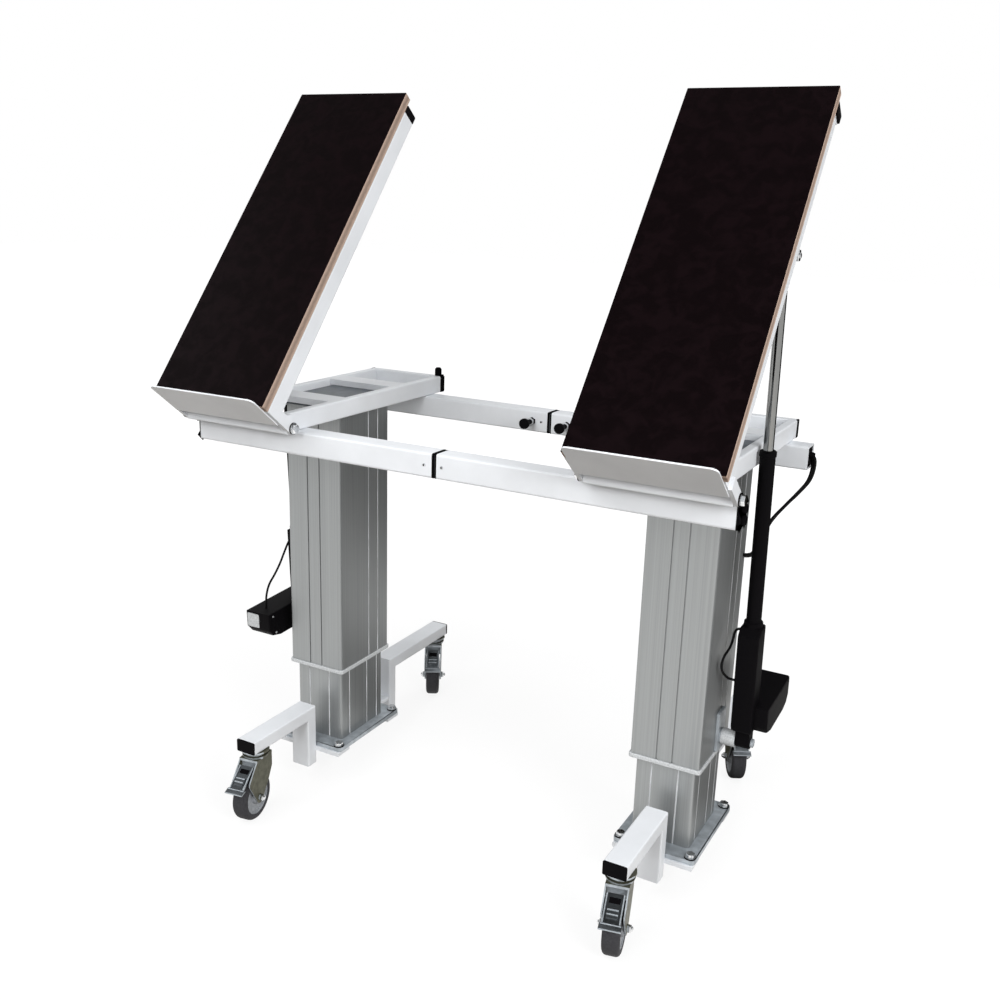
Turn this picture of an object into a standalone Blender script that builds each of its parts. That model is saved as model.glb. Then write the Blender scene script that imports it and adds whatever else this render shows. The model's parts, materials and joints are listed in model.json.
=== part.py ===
"""Adjustable work table: two lifting columns on castors, each with a tilting board.

Built unit by unit. A unit's own x runs outward from its column centre, y to the rear, z up.
The left unit is the mirror of the right one, but its actuator is the same part turned round.
"""

import math

import bmesh
import bpy
from mathutils import Vector

MM = 0.001

# Clearances and joints, all sizes in millimetres
GAP = 0.3
RUNNING_GAP = 0.5
WELD = 2.0

# Layout
COLUMN_SPACING = 890.0
FOOTPRINT_CENTRE_Y = 27.4
FACET_STEPS = 2

# Foot
ARM_WIDTH = 50.0
ARM_HEIGHT = 30.0
ARM_TOP_Z = 195.0
ARM_OFFSET = 4.0
POST_BOTTOM_Z = 44.0
FRONT_POST_Y = -144.5
REAR_POST_Y = 201.0
FRONT_ARM_Y = -349.5
REAR_ARM_Y = 478.0
TUBE_EDGE = 3.0
FOOT_PLATE_Z = 77.0
FOOT_PLATE_WIDTH = 176.0
FOOT_PLATE_REAR_Y = 127.0
FOOT_TAB_DEPTH = 46.0
PLATE_THICKNESS = 10.0
ARM_CAP_HEAD = 3.0
CAP_PLUG_DEPTH = 18.0
TUBE_WALL = 3.0

# Column
BASE_PLATE_WIDTH = 180.0
BASE_PLATE_DEPTH = 254.0
BASE_PLATE_CORNER = 8.0
BASE_BOLT_X = 77.0
BASE_BOLT_Y = 114.0
BOLT_HEAD_R = 9.0
BOLT_HEAD_H = 7.0
WASHER_R = 12.0
WASHER_H = 2.5
GLIDE_GAP = 5.0
INNER_LENGTH = 650.0
INNER_WALL = 10.0
OUTER_WIDTH = 151.0
OUTER_DEPTH = 196.0
OUTER_BOTTOM_Z = 287.0
OUTER_TOP_Z = 925.7
OUTER_WALL = 6.0
COLUMN_CORNER = 7.0
SLOT_WIDTH = 3.0
SLOT_DEPTH = 2.5
INNER_FRONT_SLOTS = (-29.0, 29.0)
OUTER_FRONT_SLOTS = (-17.0, 17.0)
INNER_SIDE_SLOTS = (-52.0, 20.0, 62.0)
OUTER_SIDE_SLOTS = (14.0, 52.0)
COLLAR_HEIGHT = 9.0
COLLAR_LIP = 3.0
COLLAR_SLEEVE = 36.0
TOP_PLATE_DEPTH = 250.0

# Castors
CASTOR_INSET = 30.0
CASTOR_TRAIL = 22.0
WHEEL_R = 55.0
TREAD_WIDTH = 36.0
AXLE_R = 5.0
FORK_INSIDE = 41.0
FORK_SHEET = 3.0
FORK_BACK = 30.0
FORK_FRONT = 30.0
FORK_NOSE = 62.0
CROWN_Z = 143.0
RACE_R = 32.0
STEM_R = 6.0
STEM_HEIGHT = 22.0
PEDAL_PIVOT_Y = -36.0
PEDAL_PIVOT_Z = 127.5
PEDAL_PIN_R = 2.5
PEDAL_WIDTH = 36.0
PEDAL_LENGTH = 54.0
PEDAL_SLOPE_DEG = 38.4
PEDAL_SHEET = 3.0
BRAKE_HOUSING_FRONT = 24.0
BRAKE_HOUSING_DROP = 24.0
TONGUE_WIDTH = 21.0
TOE_WIDTH = 44.0
TOE_REACH = 12.0
LEFT_FRONT_TURN_DEG = 8.0
LEFT_REAR_TURN_DEG = 30.0
RIGHT_FRONT_TURN_DEG = 12.0
RIGHT_REAR_TURN_DEG = 27.0

# Beams and the bars that slide in them
BEAM_SIZE = 50.0
BEAM_CORNER = 4.0
BEAM_DROP = 15.7
BEAM_END_X = 600.0
BEAM_JOINT_GAP = 10.7
FRONT_BEAM_Y = -266.0
REAR_BEAM_Y = 242.3
BAR_LENGTH = 600.0
PLUNGER_X = 45.0
PLUNGER_PIN_R = 4.0
PLUNGER_COLLAR_R = 9.0
PLUNGER_COLLAR_H = 9.0
PLUNGER_KNOB_R = 12.5
PLUNGER_REACH = 36.0

# Top frame
RAIL_WIDTH = 20.0
RAIL_HEIGHT = 40.0
INNER_RAIL_X = -94.0
OUTER_RAIL_X = 100.0
RAIL_REAR_Y = 286.0
CROSS_BAR_Y = 119.0
CROSS_BAR_DEPTH = 62.0
CAP_HEAD = 4.0
BUFFER_R = 8.5
BUFFER_HEIGHT = 20.5

# Board
PIN_Y = -317.0
PIN_RISE = 13.0
PIN_R = 6.0
PIN_DEPTH = 26.0
TILT_DEG = 51.0
BOARD_INNER_X = -122.8
BOARD_OUTER_X = 165.7
BOARD_LENGTH = 800.0
BOARD_FRONT = -12.2
BOARD_TOP = 109.5
PLY_THICKNESS = 21.0
PLY_EDGE = 1.5
BOARD_TUBE_WIDTH = 20.0
BOARD_TUBE_HEIGHT = 40.0
BOARD_TUBE_INSET = 6.0
BOARD_OVERHANG = 15.0
ARM_SHEET = 8.0
HINGE_ARM_WIDTH = 24.0
LIP_SHEET = 3.0
LIP_BOTTOM = 36.5
LIP_RISE = 25.0
LIP_CORNER = 12.0
CROSS_TUBE_WIDTH = 40.0
CROSS_TUBE_HEIGHT = 20.0
EAR_SHEET = 6.0
EAR_WIDTH = 30.0
EAR_BOLT_R = 8.0
EAR_BOLT_H = 4.0
EAR_THREAD_R = 5.0
EAR_THREAD = 9.0

# Actuator
ACTUATOR_X = 130.0
LOWER_PIVOT_Y = 17.0
LOWER_PIVOT_Z = 318.0
UPPER_PIVOT_U = 473.5
UPPER_PIVOT_V = 27.0
BLOCK_WIDTH = 44.0
BLOCK_FRONT = 32.0
BLOCK_REAR = 16.0
BLOCK_BOTTOM = 33.0
BLOCK_TOP = 264.0
BLOCK_EDGE = 4.0
TUBE_R = 15.0
TUBE_TOP = 628.0
TUBE_CAP_R = 16.5
TUBE_CAP_H = 12.0
ROD_R = 10.0
ROD_HOLD = 30.0
EYE_R = 14.0
EYE_WIDTH = 16.0
MOTOR_WIDTH = 72.0
MOTOR_BOTTOM = 28.0
MOTOR_TOP = 94.0
MOTOR_FRONT = 20.0
MOTOR_REAR = 152.0
LUG_WIDTH = 30.0
LUG_R = 14.0
MOTOR_EDGE = 9.0
BRACKET_WIDTH = 48.0
BRACKET_HEIGHT = 88.0
BRACKET_SHEET = 6.0
BRACKET_BOSS_R = 16.0
STUD_R = 6.0
STUD_HEAD_R = 9.0
STUD_HEAD_H = 6.0

# Cables
BEAM_CABLE_R = 3.5
MOTOR_CABLE_R = 2.6
CABLE_PITCH = 2.4

# Worked out from the sizes above
ARM_BOTTOM_Z = ARM_TOP_Z - ARM_HEIGHT
BASE_PLATE_Z = FOOT_PLATE_Z + PLATE_THICKNESS + GAP
INNER_BOTTOM_Z = BASE_PLATE_Z + PLATE_THICKNESS + GAP
INNER_WIDTH = OUTER_WIDTH - 2 * (OUTER_WALL + GLIDE_GAP)
INNER_DEPTH = OUTER_DEPTH - 2 * (OUTER_WALL + GLIDE_GAP)
BEAM_TOP_Z = OUTER_TOP_Z - BEAM_DROP
PIN_Z = BEAM_TOP_Z + PIN_RISE
TOP_PLATE_Z = OUTER_TOP_Z + GAP
TOP_PLATE_WIDTH = -2 * INNER_RAIL_X - RAIL_WIDTH - 2 * WELD
RAIL_Z = BEAM_TOP_Z + GAP
RAIL_TOP_Z = RAIL_Z + RAIL_HEIGHT
RAIL_END_INNER = INNER_RAIL_X - RAIL_WIDTH / 2
RAIL_END_OUTER = OUTER_RAIL_X + RAIL_WIDTH / 2
BOARD_UNDER = BOARD_TOP - PLY_THICKNESS - GAP - BOARD_TUBE_HEIGHT
BOARD_TUBE_END = BOARD_FRONT + BOARD_LENGTH - BOARD_OVERHANG - BOARD_TUBE_WIDTH
HINGE_INNER = BOARD_INNER_X + ARM_SHEET + RUNNING_GAP
HINGE_OUTER = BOARD_OUTER_X - ARM_SHEET - RUNNING_GAP
BUFFER_Y = RAIL_REAR_Y + RAIL_WIDTH / 2
BAR_SIZE = BEAM_SIZE - 2 * TUBE_WALL - 2 * GAP
TILT = math.radians(TILT_DEG)
UPPER_PIVOT_Y = PIN_Y + UPPER_PIVOT_U * math.cos(TILT) - UPPER_PIVOT_V * math.sin(TILT)
UPPER_PIVOT_Z = PIN_Z + UPPER_PIVOT_U * math.sin(TILT) + UPPER_PIVOT_V * math.cos(TILT)
ACTUATOR_RISE = UPPER_PIVOT_Z - LOWER_PIVOT_Z
ACTUATOR_RUN = UPPER_PIVOT_Y - LOWER_PIVOT_Y
ACTUATOR_LENGTH = math.hypot(ACTUATOR_RUN, ACTUATOR_RISE)
ACTUATOR_LEAN = -math.atan2(ACTUATOR_RUN, ACTUATOR_RISE)
ACTUATOR_SHUT = math.hypot(
    PIN_Y + UPPER_PIVOT_U - LOWER_PIVOT_Y, PIN_Z + UPPER_PIVOT_V - LOWER_PIVOT_Z
)
ROD_LENGTH = ACTUATOR_LENGTH - TUBE_TOP + ROD_HOLD
BORE_BOTTOM = TUBE_TOP - ROD_HOLD - (ACTUATOR_LENGTH - ACTUATOR_SHUT) - 6.0


def finish(name, colour, roughness, metallic=0.0):
    """A material with the colour, roughness and metal of one real finish."""
    material = bpy.data.materials.new(name)
    material.use_nodes = True
    shader = material.node_tree.nodes["Principled BSDF"]
    shader.inputs["Base Color"].default_value = (*colour, 1.0)
    shader.inputs["Roughness"].default_value = roughness
    shader.inputs["Metallic"].default_value = metallic
    return material


def joint(name, parent, place=(0.0, 0.0, 0.0), turn=(0.0, 0.0, 0.0)):
    """An empty on a joint's axis, which carries the pieces that move there."""
    empty = bpy.data.objects.new(name, None)
    empty.empty_display_size = 0.05
    empty.location = Vector(place) * MM
    empty.rotation_euler = turn
    empty.parent = parent
    bpy.context.collection.objects.link(empty)
    return empty


def on_axis(axis, along, first, second):
    """A point from its place along an axis and the other two coordinates in order."""
    if axis == "X":
        return Vector((along, first, second))
    if axis == "Y":
        return Vector((first, along, second))
    return Vector((first, second, along))


def prism(outline, start, end, axis, edge=0.0):
    """An outline drawn out along an axis, the edges of its two ends rounded."""
    bm = bmesh.new()
    corners = [bm.verts.new(on_axis(axis, start, a, b)) for a, b in outline]
    face = bm.faces.new(corners)
    drawn = bmesh.ops.extrude_face_region(bm, geom=[face])
    moved = [item for item in drawn["geom"] if isinstance(item, bmesh.types.BMVert)]
    bmesh.ops.translate(bm, verts=moved, vec=on_axis(axis, end - start, 0.0, 0.0))
    if edge:
        number = "XYZ".index(axis)
        rims = [
            line for line in bm.edges
            if abs(line.verts[0].co[number] - line.verts[1].co[number]) < GAP
        ]
        bmesh.ops.bevel(
            bm, geom=rims, offset=edge, segments=FACET_STEPS, profile=0.5, affect="EDGES"
        )
    return bm


def rounded(width, height, corner, centre=(0.0, 0.0), steps=FACET_STEPS):
    """The outline of a rectangle with round corners."""
    points = []
    for quarter in range(4):
        sign_a = 1 if quarter in (0, 3) else -1
        sign_b = 1 if quarter in (0, 1) else -1
        for step in range(steps + 1):
            turn = math.radians(90 * quarter + 90 * step / steps)
            a = sign_a * (width / 2 - corner) + corner * math.cos(turn)
            b = sign_b * (height / 2 - corner) + corner * math.sin(turn)
            points.append((centre[0] + a, centre[1] + b))
    return points


def slotted(width, depth, front_slots, side_slots):
    """The outline of a column extrusion with its narrow slots."""
    points = []
    mirrored = [-place for place in reversed(side_slots)]
    for face in range(4):
        length, reach = (width / 2, depth / 2) if face % 2 == 0 else (depth / 2, width / 2)
        local = []
        for place in (front_slots, side_slots, front_slots, mirrored)[face]:
            near = place - SLOT_WIDTH / 2
            far = place + SLOT_WIDTH / 2
            floor = reach - SLOT_DEPTH
            local += [(near, reach), (near, floor), (far, floor), (far, reach)]
        for step in range(FACET_STEPS + 1):
            turn = math.pi / 2 * step / FACET_STEPS
            local.append((
                length - COLUMN_CORNER + COLUMN_CORNER * math.sin(turn),
                reach - COLUMN_CORNER + COLUMN_CORNER * math.cos(turn),
            ))
        turned = {
            0: lambda t, n: (t, -n),
            1: lambda t, n: (n, t),
            2: lambda t, n: (-t, n),
            3: lambda t, n: (-n, -t),
        }[face]
        points += [turned(t, n) for t, n in local]
    return points


def block(x, y, z):
    """A plain box between pairs of limits."""
    bm = bmesh.new()
    bmesh.ops.create_cube(bm, size=1.0)
    low = Vector((min(x), min(y), min(z)))
    size = Vector((max(x), max(y), max(z))) - low
    for vert in bm.verts:
        vert.co = low + Vector([size[i] * (vert.co[i] + 0.5) for i in range(3)])
    return bm


def bar(across, start, end, axis, corner=TUBE_EDGE):
    """A straight tube seen from outside: pairs of limits across it and its two ends."""
    (a0, a1), (b0, b1) = across
    outline = rounded(a1 - a0, b1 - b0, corner, ((a0 + a1) / 2, (b0 + b1) / 2))
    return prism(outline, start, end, axis)


def lathe(profile, segments, axis="Z", at=(0.0, 0.0, 0.0)):
    """A profile of (radius, height) pairs spun round an axis."""
    bm = bmesh.new()
    verts = [bm.verts.new((radius, 0.0, height)) for radius, height in profile]
    edges = [bm.edges.new(pair) for pair in zip(verts, verts[1:])]
    bmesh.ops.spin(
        bm, geom=verts + edges, cent=(0, 0, 0), axis=(0, 0, 1),
        angle=2 * math.pi, steps=segments, use_duplicate=False,
    )
    bmesh.ops.remove_doubles(bm, verts=bm.verts[:], dist=0.001)
    shift = {"X": 1, "Y": 2, "Z": 0}[axis]
    for vert in bm.verts:
        spun = vert.co.copy()
        vert.co = Vector(at) + Vector([spun[(i - shift) % 3] for i in range(3)])
    return bm


def drum(radius, start, end, axis, at, segments=16):
    """A solid cylinder."""
    return lathe([(0, start), (radius, start), (radius, end), (0, end)], segments, axis, at)


def solid(name, bm, side):
    """A mesh object from a shape in millimetres, mirrored for the left unit."""
    for vert in bm.verts:
        vert.co = Vector((vert.co.x * side, vert.co.y, vert.co.z)) * MM
    bm.normal_update()
    bmesh.ops.recalc_face_normals(bm, faces=bm.faces[:])
    mesh = bpy.data.meshes.new(name)
    bm.to_mesh(mesh)
    bm.free()
    obj = bpy.data.objects.new(name, mesh)
    bpy.context.collection.objects.link(obj)
    return obj


def piece(name, parent, material, shape, joins=(), cuts=(), side=1):
    """A named part: its first shape with others welded on and others cut away."""
    obj = solid(name, shape, side)
    obj.parent = parent
    obj.data.materials.append(material)
    for operation, shapes in (("UNION", joins), ("DIFFERENCE", cuts)):
        for number, other in enumerate(shapes):
            helper = solid(f"{name}_{operation.lower()}_{number}", other, side)
            helper.parent = parent
            helper.hide_render = True
            helper.display_type = "WIRE"
            modifier = obj.modifiers.new(helper.name, "BOOLEAN")
            modifier.operation = operation
            modifier.solver = "EXACT"
            modifier.object = helper
    return obj


def smooth_route(points, step):
    """Points at even steps on a smooth curve through a cable's route."""
    route = [Vector(point) for point in points]
    route = [2 * route[0] - route[1], *route, 2 * route[-1] - route[-2]]
    samples = []
    for before, start, end, after in zip(route, route[1:], route[2:], route[3:]):
        count = max(1, round((end - start).length / step))
        for number in range(count):
            t = number / count
            samples.append(0.5 * (
                2 * start + (end - before) * t
                + (2 * before - 5 * start + 4 * end - after) * t ** 2
                + (3 * start - before - 3 * end + after) * t ** 3
            ))
    return [*samples, route[-2]]


def cord(name, parent, material, points, radius, side=1):
    """A round cable along a route."""
    curve = bpy.data.curves.new(name, "CURVE")
    curve.dimensions = "3D"
    curve.bevel_depth = radius * MM
    curve.bevel_resolution = 2
    curve.use_fill_caps = True
    samples = smooth_route(points, CABLE_PITCH * 2 * radius)
    spline = curve.splines.new("POLY")
    spline.points.add(len(samples) - 1)
    for point, place in zip(spline.points, samples):
        point.co = (place.x * side * MM, place.y * MM, place.z * MM, 1.0)
    obj = bpy.data.objects.new(name, curve)
    obj.parent = parent
    obj.data.materials.append(material)
    bpy.context.collection.objects.link(obj)


def gooseneck(post_y, arm_y):
    """A foot post and the arm that runs from its top, as one bent tube."""
    outward = 1 if arm_y > post_y else -1
    inside = post_y - outward * ARM_HEIGHT / 2
    outside = post_y + outward * ARM_HEIGHT / 2
    outline = [
        (inside, POST_BOTTOM_Z), (inside, ARM_TOP_Z), (arm_y, ARM_TOP_Z),
        (arm_y, ARM_BOTTOM_Z), (outside, ARM_BOTTOM_Z), (outside, POST_BOTTOM_Z),
    ]
    half = ARM_WIDTH / 2
    return prism(outline, ARM_OFFSET - half, ARM_OFFSET + half, "X", TUBE_EDGE)


def cap_plug(across, start, end, axis, grow=0.0):
    """The plug of an end cap, or the pocket for it when it is let grow."""
    shrink = TUBE_WALL + GAP - grow
    (a0, a1), (b0, b1) = across
    return bar(((a0 + shrink, a1 - shrink), (b0 + shrink, b1 - shrink)), start, end, axis, 2.0)


def make_foot(unit, side, base, white, zinc, black):
    arm_across = (
        (ARM_OFFSET - ARM_WIDTH / 2, ARM_OFFSET + ARM_WIDTH / 2), (ARM_BOTTOM_Z, ARM_TOP_Z)
    )
    inside_front = FRONT_POST_Y + ARM_HEIGHT / 2
    inside_rear = REAR_POST_Y - ARM_HEIGHT / 2
    level = (FOOT_PLATE_Z, FOOT_PLATE_Z + PLATE_THICKNESS)
    spine = bar(
        (
            (arm_across[0][0] + TUBE_EDGE, arm_across[0][1] - TUBE_EDGE),
            (level[0] + 0.2, level[1] - 0.2),
        ),
        inside_front - WELD, inside_rear + WELD, "Y", WELD,
    )
    plate_half = FOOT_PLATE_WIDTH / 2
    tabs = [
        bar(((-plate_half, plate_half), level), start, end, "Y", WELD)
        for start, end in (
            (inside_front - WELD, inside_front - WELD + FOOT_TAB_DEPTH),
            (FOOT_PLATE_REAR_Y - FOOT_TAB_DEPTH, FOOT_PLATE_REAR_Y),
        )
    ]
    pockets = []
    for arm_y, inward in ((FRONT_ARM_Y, 1), (REAR_ARM_Y, -1)):
        deep = arm_y + inward * (CAP_PLUG_DEPTH + GAP)
        pockets.append(cap_plug(arm_across, arm_y - inward, deep, "Y", GAP))
        stem_y = arm_y + inward * CASTOR_INSET
        top = ARM_BOTTOM_Z + STEM_HEIGHT + GAP
        pockets.append(
            drum(STEM_R + 2 * GAP, ARM_BOTTOM_Z - 1, top, "Z", (ARM_OFFSET, stem_y, 0), 10)
        )
    piece(
        f"{unit}_foot_frame", base, white, spine,
        [gooseneck(FRONT_POST_Y, FRONT_ARM_Y), gooseneck(REAR_POST_Y, REAR_ARM_Y), *tabs],
        pockets, side,
    )
    for end, arm_y, outward in (("front", FRONT_ARM_Y, -1), ("rear", REAR_ARM_Y, 1)):
        near = arm_y + outward * GAP
        piece(
            f"{unit}_arm_cap_{end}", base, black,
            bar(arm_across, near, near + outward * ARM_CAP_HEAD, "Y"),
            [cap_plug(arm_across, near + outward, arm_y - outward * CAP_PLUG_DEPTH, "Y")],
            side=side,
        )
    heads = []
    for x in (-BASE_BOLT_X, BASE_BOLT_X):
        for y in (-BASE_BOLT_Y, BASE_BOLT_Y):
            top = BASE_PLATE_Z + PLATE_THICKNESS
            washer = top + WASHER_H
            head = washer + BOLT_HEAD_H
            profile = [
                (0, top - WELD), (WASHER_R, top - WELD), (WASHER_R, washer),
                (BOLT_HEAD_R, washer), (BOLT_HEAD_R, head), (0, head),
            ]
            heads.append(lathe(profile, 8, "Z", (x, y, 0)))
    piece(
        f"{unit}_column_base_plate", base, zinc,
        prism(
            rounded(BASE_PLATE_WIDTH, BASE_PLATE_DEPTH, BASE_PLATE_CORNER),
            BASE_PLATE_Z, BASE_PLATE_Z + PLATE_THICKNESS, "Z",
        ),
        heads, side=side,
    )


def make_column(unit, side, base, top, silver, pale, grey):
    piece(
        f"{unit}_column_inner", base, silver,
        prism(
            slotted(INNER_WIDTH, INNER_DEPTH, INNER_FRONT_SLOTS, INNER_SIDE_SLOTS),
            INNER_BOTTOM_Z, INNER_BOTTOM_Z + INNER_LENGTH, "Z",
        ),
        cuts=[prism(
            rounded(INNER_WIDTH - 2 * INNER_WALL, INNER_DEPTH - 2 * INNER_WALL, COLUMN_CORNER),
            INNER_BOTTOM_Z - 1, INNER_BOTTOM_Z + INNER_LENGTH + 1, "Z",
        )],
        side=side,
    )
    hollow_width = OUTER_WIDTH - 2 * OUTER_WALL
    hollow_depth = OUTER_DEPTH - 2 * OUTER_WALL
    piece(
        f"{unit}_column_outer", top, silver,
        prism(
            slotted(OUTER_WIDTH, OUTER_DEPTH, OUTER_FRONT_SLOTS, OUTER_SIDE_SLOTS),
            OUTER_BOTTOM_Z, OUTER_TOP_Z, "Z",
        ),
        cuts=[prism(
            rounded(hollow_width, hollow_depth, COLUMN_CORNER),
            OUTER_BOTTOM_Z - 1, OUTER_TOP_Z + 1, "Z",
        )],
        side=side,
    )
    collar_top = OUTER_BOTTOM_Z - GAP
    collar_bottom = collar_top - COLLAR_HEIGHT
    piece(
        f"{unit}_column_collar", top, pale,
        prism(
            rounded(OUTER_WIDTH + 2 * COLLAR_LIP, OUTER_DEPTH + 2 * COLLAR_LIP, COLUMN_CORNER),
            collar_bottom, collar_top, "Z",
        ),
        [prism(
            rounded(hollow_width - 2 * GAP, hollow_depth - 2 * GAP, COLUMN_CORNER),
            collar_top - WELD, collar_top + COLLAR_SLEEVE, "Z",
        )],
        [prism(
            rounded(
                INNER_WIDTH + 2 * RUNNING_GAP, INNER_DEPTH + 2 * RUNNING_GAP, COLUMN_CORNER
            ),
            collar_bottom - 1, collar_top + COLLAR_SLEEVE + 1, "Z",
        )],
        side,
    )
    piece(
        f"{unit}_column_top_plate", top, grey,
        prism(
            rounded(TOP_PLATE_WIDTH, TOP_PLATE_DEPTH, BASE_PLATE_CORNER),
            TOP_PLATE_Z, TOP_PLATE_Z + PLATE_THICKNESS, "Z",
        ),
        side=side,
    )


def pedal_point(along, off):
    """A point on the pedal, seen from its pivot: down its slope and square to it."""
    slope = math.radians(PEDAL_SLOPE_DEG)
    return (
        -along * math.cos(slope) - off * math.sin(slope),
        -along * math.sin(slope) + off * math.cos(slope),
    )


def pedal_slab(along, off, width):
    """A slab of the pedal between limits down its slope and square to it."""
    corners = [(along[0], off[0]), (along[0], off[1]), (along[1], off[1]), (along[1], off[0])]
    return prism([pedal_point(*corner) for corner in corners], -width / 2, width / 2, "X")


def make_castor(name, base, place, turn_deg, zinc, tyre):
    swivel = joint(f"{name}_swivel", base, place, (0, 0, math.radians(turn_deg)))
    leg = [
        (FORK_FRONT, CROWN_Z + FORK_SHEET), (-FORK_BACK, CROWN_Z + FORK_SHEET),
        (-FORK_NOSE, WHEEL_R + 51.0), (-FORK_NOSE, WHEEL_R + 43.0),
    ]
    boss = AXLE_R + 9.0
    for step in range(7):
        turn = math.radians(190 + 160 * step / 6)
        leg.append((
            -CASTOR_TRAIL + boss * math.cos(turn), WHEEL_R + boss * math.sin(turn)
        ))
    leg += [(FORK_FRONT / 2, WHEEL_R + 29.0), (FORK_FRONT, CROWN_Z - 31.0)]
    inside = FORK_INSIDE / 2
    outside = inside + FORK_SHEET
    race_top = ARM_BOTTOM_Z - GAP
    crown_top = CROWN_Z + 2 * FORK_SHEET
    race = [
        (0, crown_top - WELD), (RACE_R - 4, crown_top - WELD), (RACE_R - 2, crown_top + 4),
        (RACE_R - 8, crown_top + 5), (RACE_R - 8, race_top - 5), (RACE_R, race_top - 4),
        (RACE_R, race_top), (STEM_R, race_top), (STEM_R, ARM_BOTTOM_Z + STEM_HEIGHT),
        (0, ARM_BOTTOM_Z + STEM_HEIGHT),
    ]
    head = outside + 4.0
    axle = [
        (0, -head), (AXLE_R + 3, -head), (AXLE_R + 3, -outside + 1), (AXLE_R, -outside + 1),
        (AXLE_R, outside - 1), (AXLE_R + 3, outside - 1), (AXLE_R + 3, head), (0, head),
    ]
    pivot = (0, PEDAL_PIVOT_Y, PEDAL_PIVOT_Z)
    piece(
        f"{name}_fork", swivel, zinc,
        block((-outside, outside), (-FORK_BACK - 0.4, FORK_FRONT + 0.4), (CROWN_Z, crown_top)),
        [
            prism(leg, inside, outside, "X"),
            prism(leg, -outside, -inside, "X"),
            block(
                (-outside + 0.4, outside - 0.4), (-BRAKE_HOUSING_FRONT, FORK_FRONT - 0.2),
                (CROWN_Z - BRAKE_HOUSING_DROP, CROWN_Z + 1),
            ),
            lathe(race, 16),
            lathe(axle, 10, "X", (0, -CASTOR_TRAIL, WHEEL_R)),
            drum(PEDAL_PIN_R, -inside - 1, inside + 1, "X", pivot, 8),
        ],
    )
    wheel = joint(f"{name}_axle", swivel, (0, -CASTOR_TRAIL, WHEEL_R))
    half = TREAD_WIDTH / 2
    bore = AXLE_R + GAP
    hub = inside - RUNNING_GAP
    profile = [
        (bore, -hub), (AXLE_R + 8, -hub), (WHEEL_R - 20, -half + 8), (WHEEL_R - 14, -half + 1),
        (WHEEL_R - 4, -half), (WHEEL_R, -half + 8), (WHEEL_R, half - 8), (WHEEL_R - 4, half),
        (WHEEL_R - 14, half - 1), (WHEEL_R - 20, half - 8), (AXLE_R + 8, hub), (bore, hub),
        (bore, -hub),
    ]
    piece(f"{name}_wheel", wheel, tyre, lathe(profile, 24, "X"))
    pedal = joint(f"{name}_pedal_pivot", swivel, pivot)
    knuckle = PEDAL_PIN_R + 3.5
    sheet = (knuckle - PEDAL_SHEET, knuckle)
    toe = [
        pedal_point(PEDAL_LENGTH - 3, sheet[0]), pedal_point(PEDAL_LENGTH - 3, sheet[1]),
        pedal_point(PEDAL_LENGTH, sheet[1] + 1), pedal_point(PEDAL_LENGTH + TOE_REACH, sheet[1] + 5),
        pedal_point(PEDAL_LENGTH + TOE_REACH, sheet[0] + 5), pedal_point(PEDAL_LENGTH, sheet[0] + 1),
    ]
    tongue = (PEDAL_LENGTH * 0.45, PEDAL_LENGTH * 0.78)
    piece(
        f"{name}_brake_pedal", pedal, zinc,
        pedal_slab((-5.0, PEDAL_LENGTH), sheet, PEDAL_WIDTH),
        [
            drum(knuckle, -PEDAL_WIDTH / 2 + 1, PEDAL_WIDTH / 2 - 1, "X", (0, 0, 0), 12),
            prism(toe, -TOE_WIDTH / 2, TOE_WIDTH / 2, "X"),
            pedal_slab(tongue, (sheet[1] - 1, sheet[1] + 3), TONGUE_WIDTH),
        ],
        [drum(PEDAL_PIN_R + 2 * GAP, -PEDAL_WIDTH, PEDAL_WIDTH, "X", (0, 0, 0), 8)],
    )


def make_beams(unit, side, top, white, black):
    half = COLUMN_SPACING / 2
    start = -half + BEAM_JOINT_GAP / 2
    end = BEAM_END_X - half
    middle_z = BEAM_TOP_Z - BEAM_SIZE / 2
    hollow = BEAM_SIZE - 2 * TUBE_WALL
    plunger_x = PLUNGER_X - half
    face = REAR_BEAM_Y - BEAM_SIZE / 2
    for name, y in (("front", FRONT_BEAM_Y), ("rear", REAR_BEAM_Y)):
        centre = (y, middle_z)
        joins = []
        cuts = [prism(rounded(hollow, hollow, 2.0, centre), start - 1, end + 1, "X")]
        if name == "rear":
            joins.append(drum(
                PLUNGER_COLLAR_R, face - PLUNGER_COLLAR_H, face + 1, "Y",
                (plunger_x, 0, middle_z), 6,
            ))
            cuts.append(drum(
                PLUNGER_PIN_R + GAP, face - 20, face + TUBE_WALL + 1, "Y",
                (plunger_x, 0, middle_z), 12,
            ))
        piece(
            f"{unit}_{name}_beam", top, white,
            prism(rounded(BEAM_SIZE, BEAM_SIZE, BEAM_CORNER, centre), start, end, "X"),
            joins, cuts, side,
        )
    place = (side * plunger_x, face - PLUNGER_COLLAR_H, middle_z)
    plunger = joint(f"{unit}_plunger_axis", top, place)
    knob = PLUNGER_KNOB_R
    tip = PLUNGER_COLLAR_H + TUBE_WALL - GAP
    profile = [
        (0, -PLUNGER_REACH + PLUNGER_COLLAR_H), (knob - 3, -PLUNGER_REACH + PLUNGER_COLLAR_H),
        (knob, -PLUNGER_REACH + PLUNGER_COLLAR_H + 4), (knob - 1, -10), (knob - 5, -GAP),
        (PLUNGER_PIN_R, -GAP), (PLUNGER_PIN_R, tip), (0, tip),
    ]
    piece(f"{unit}_plunger", plunger, black, lathe(profile, 14, "Y"))


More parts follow.
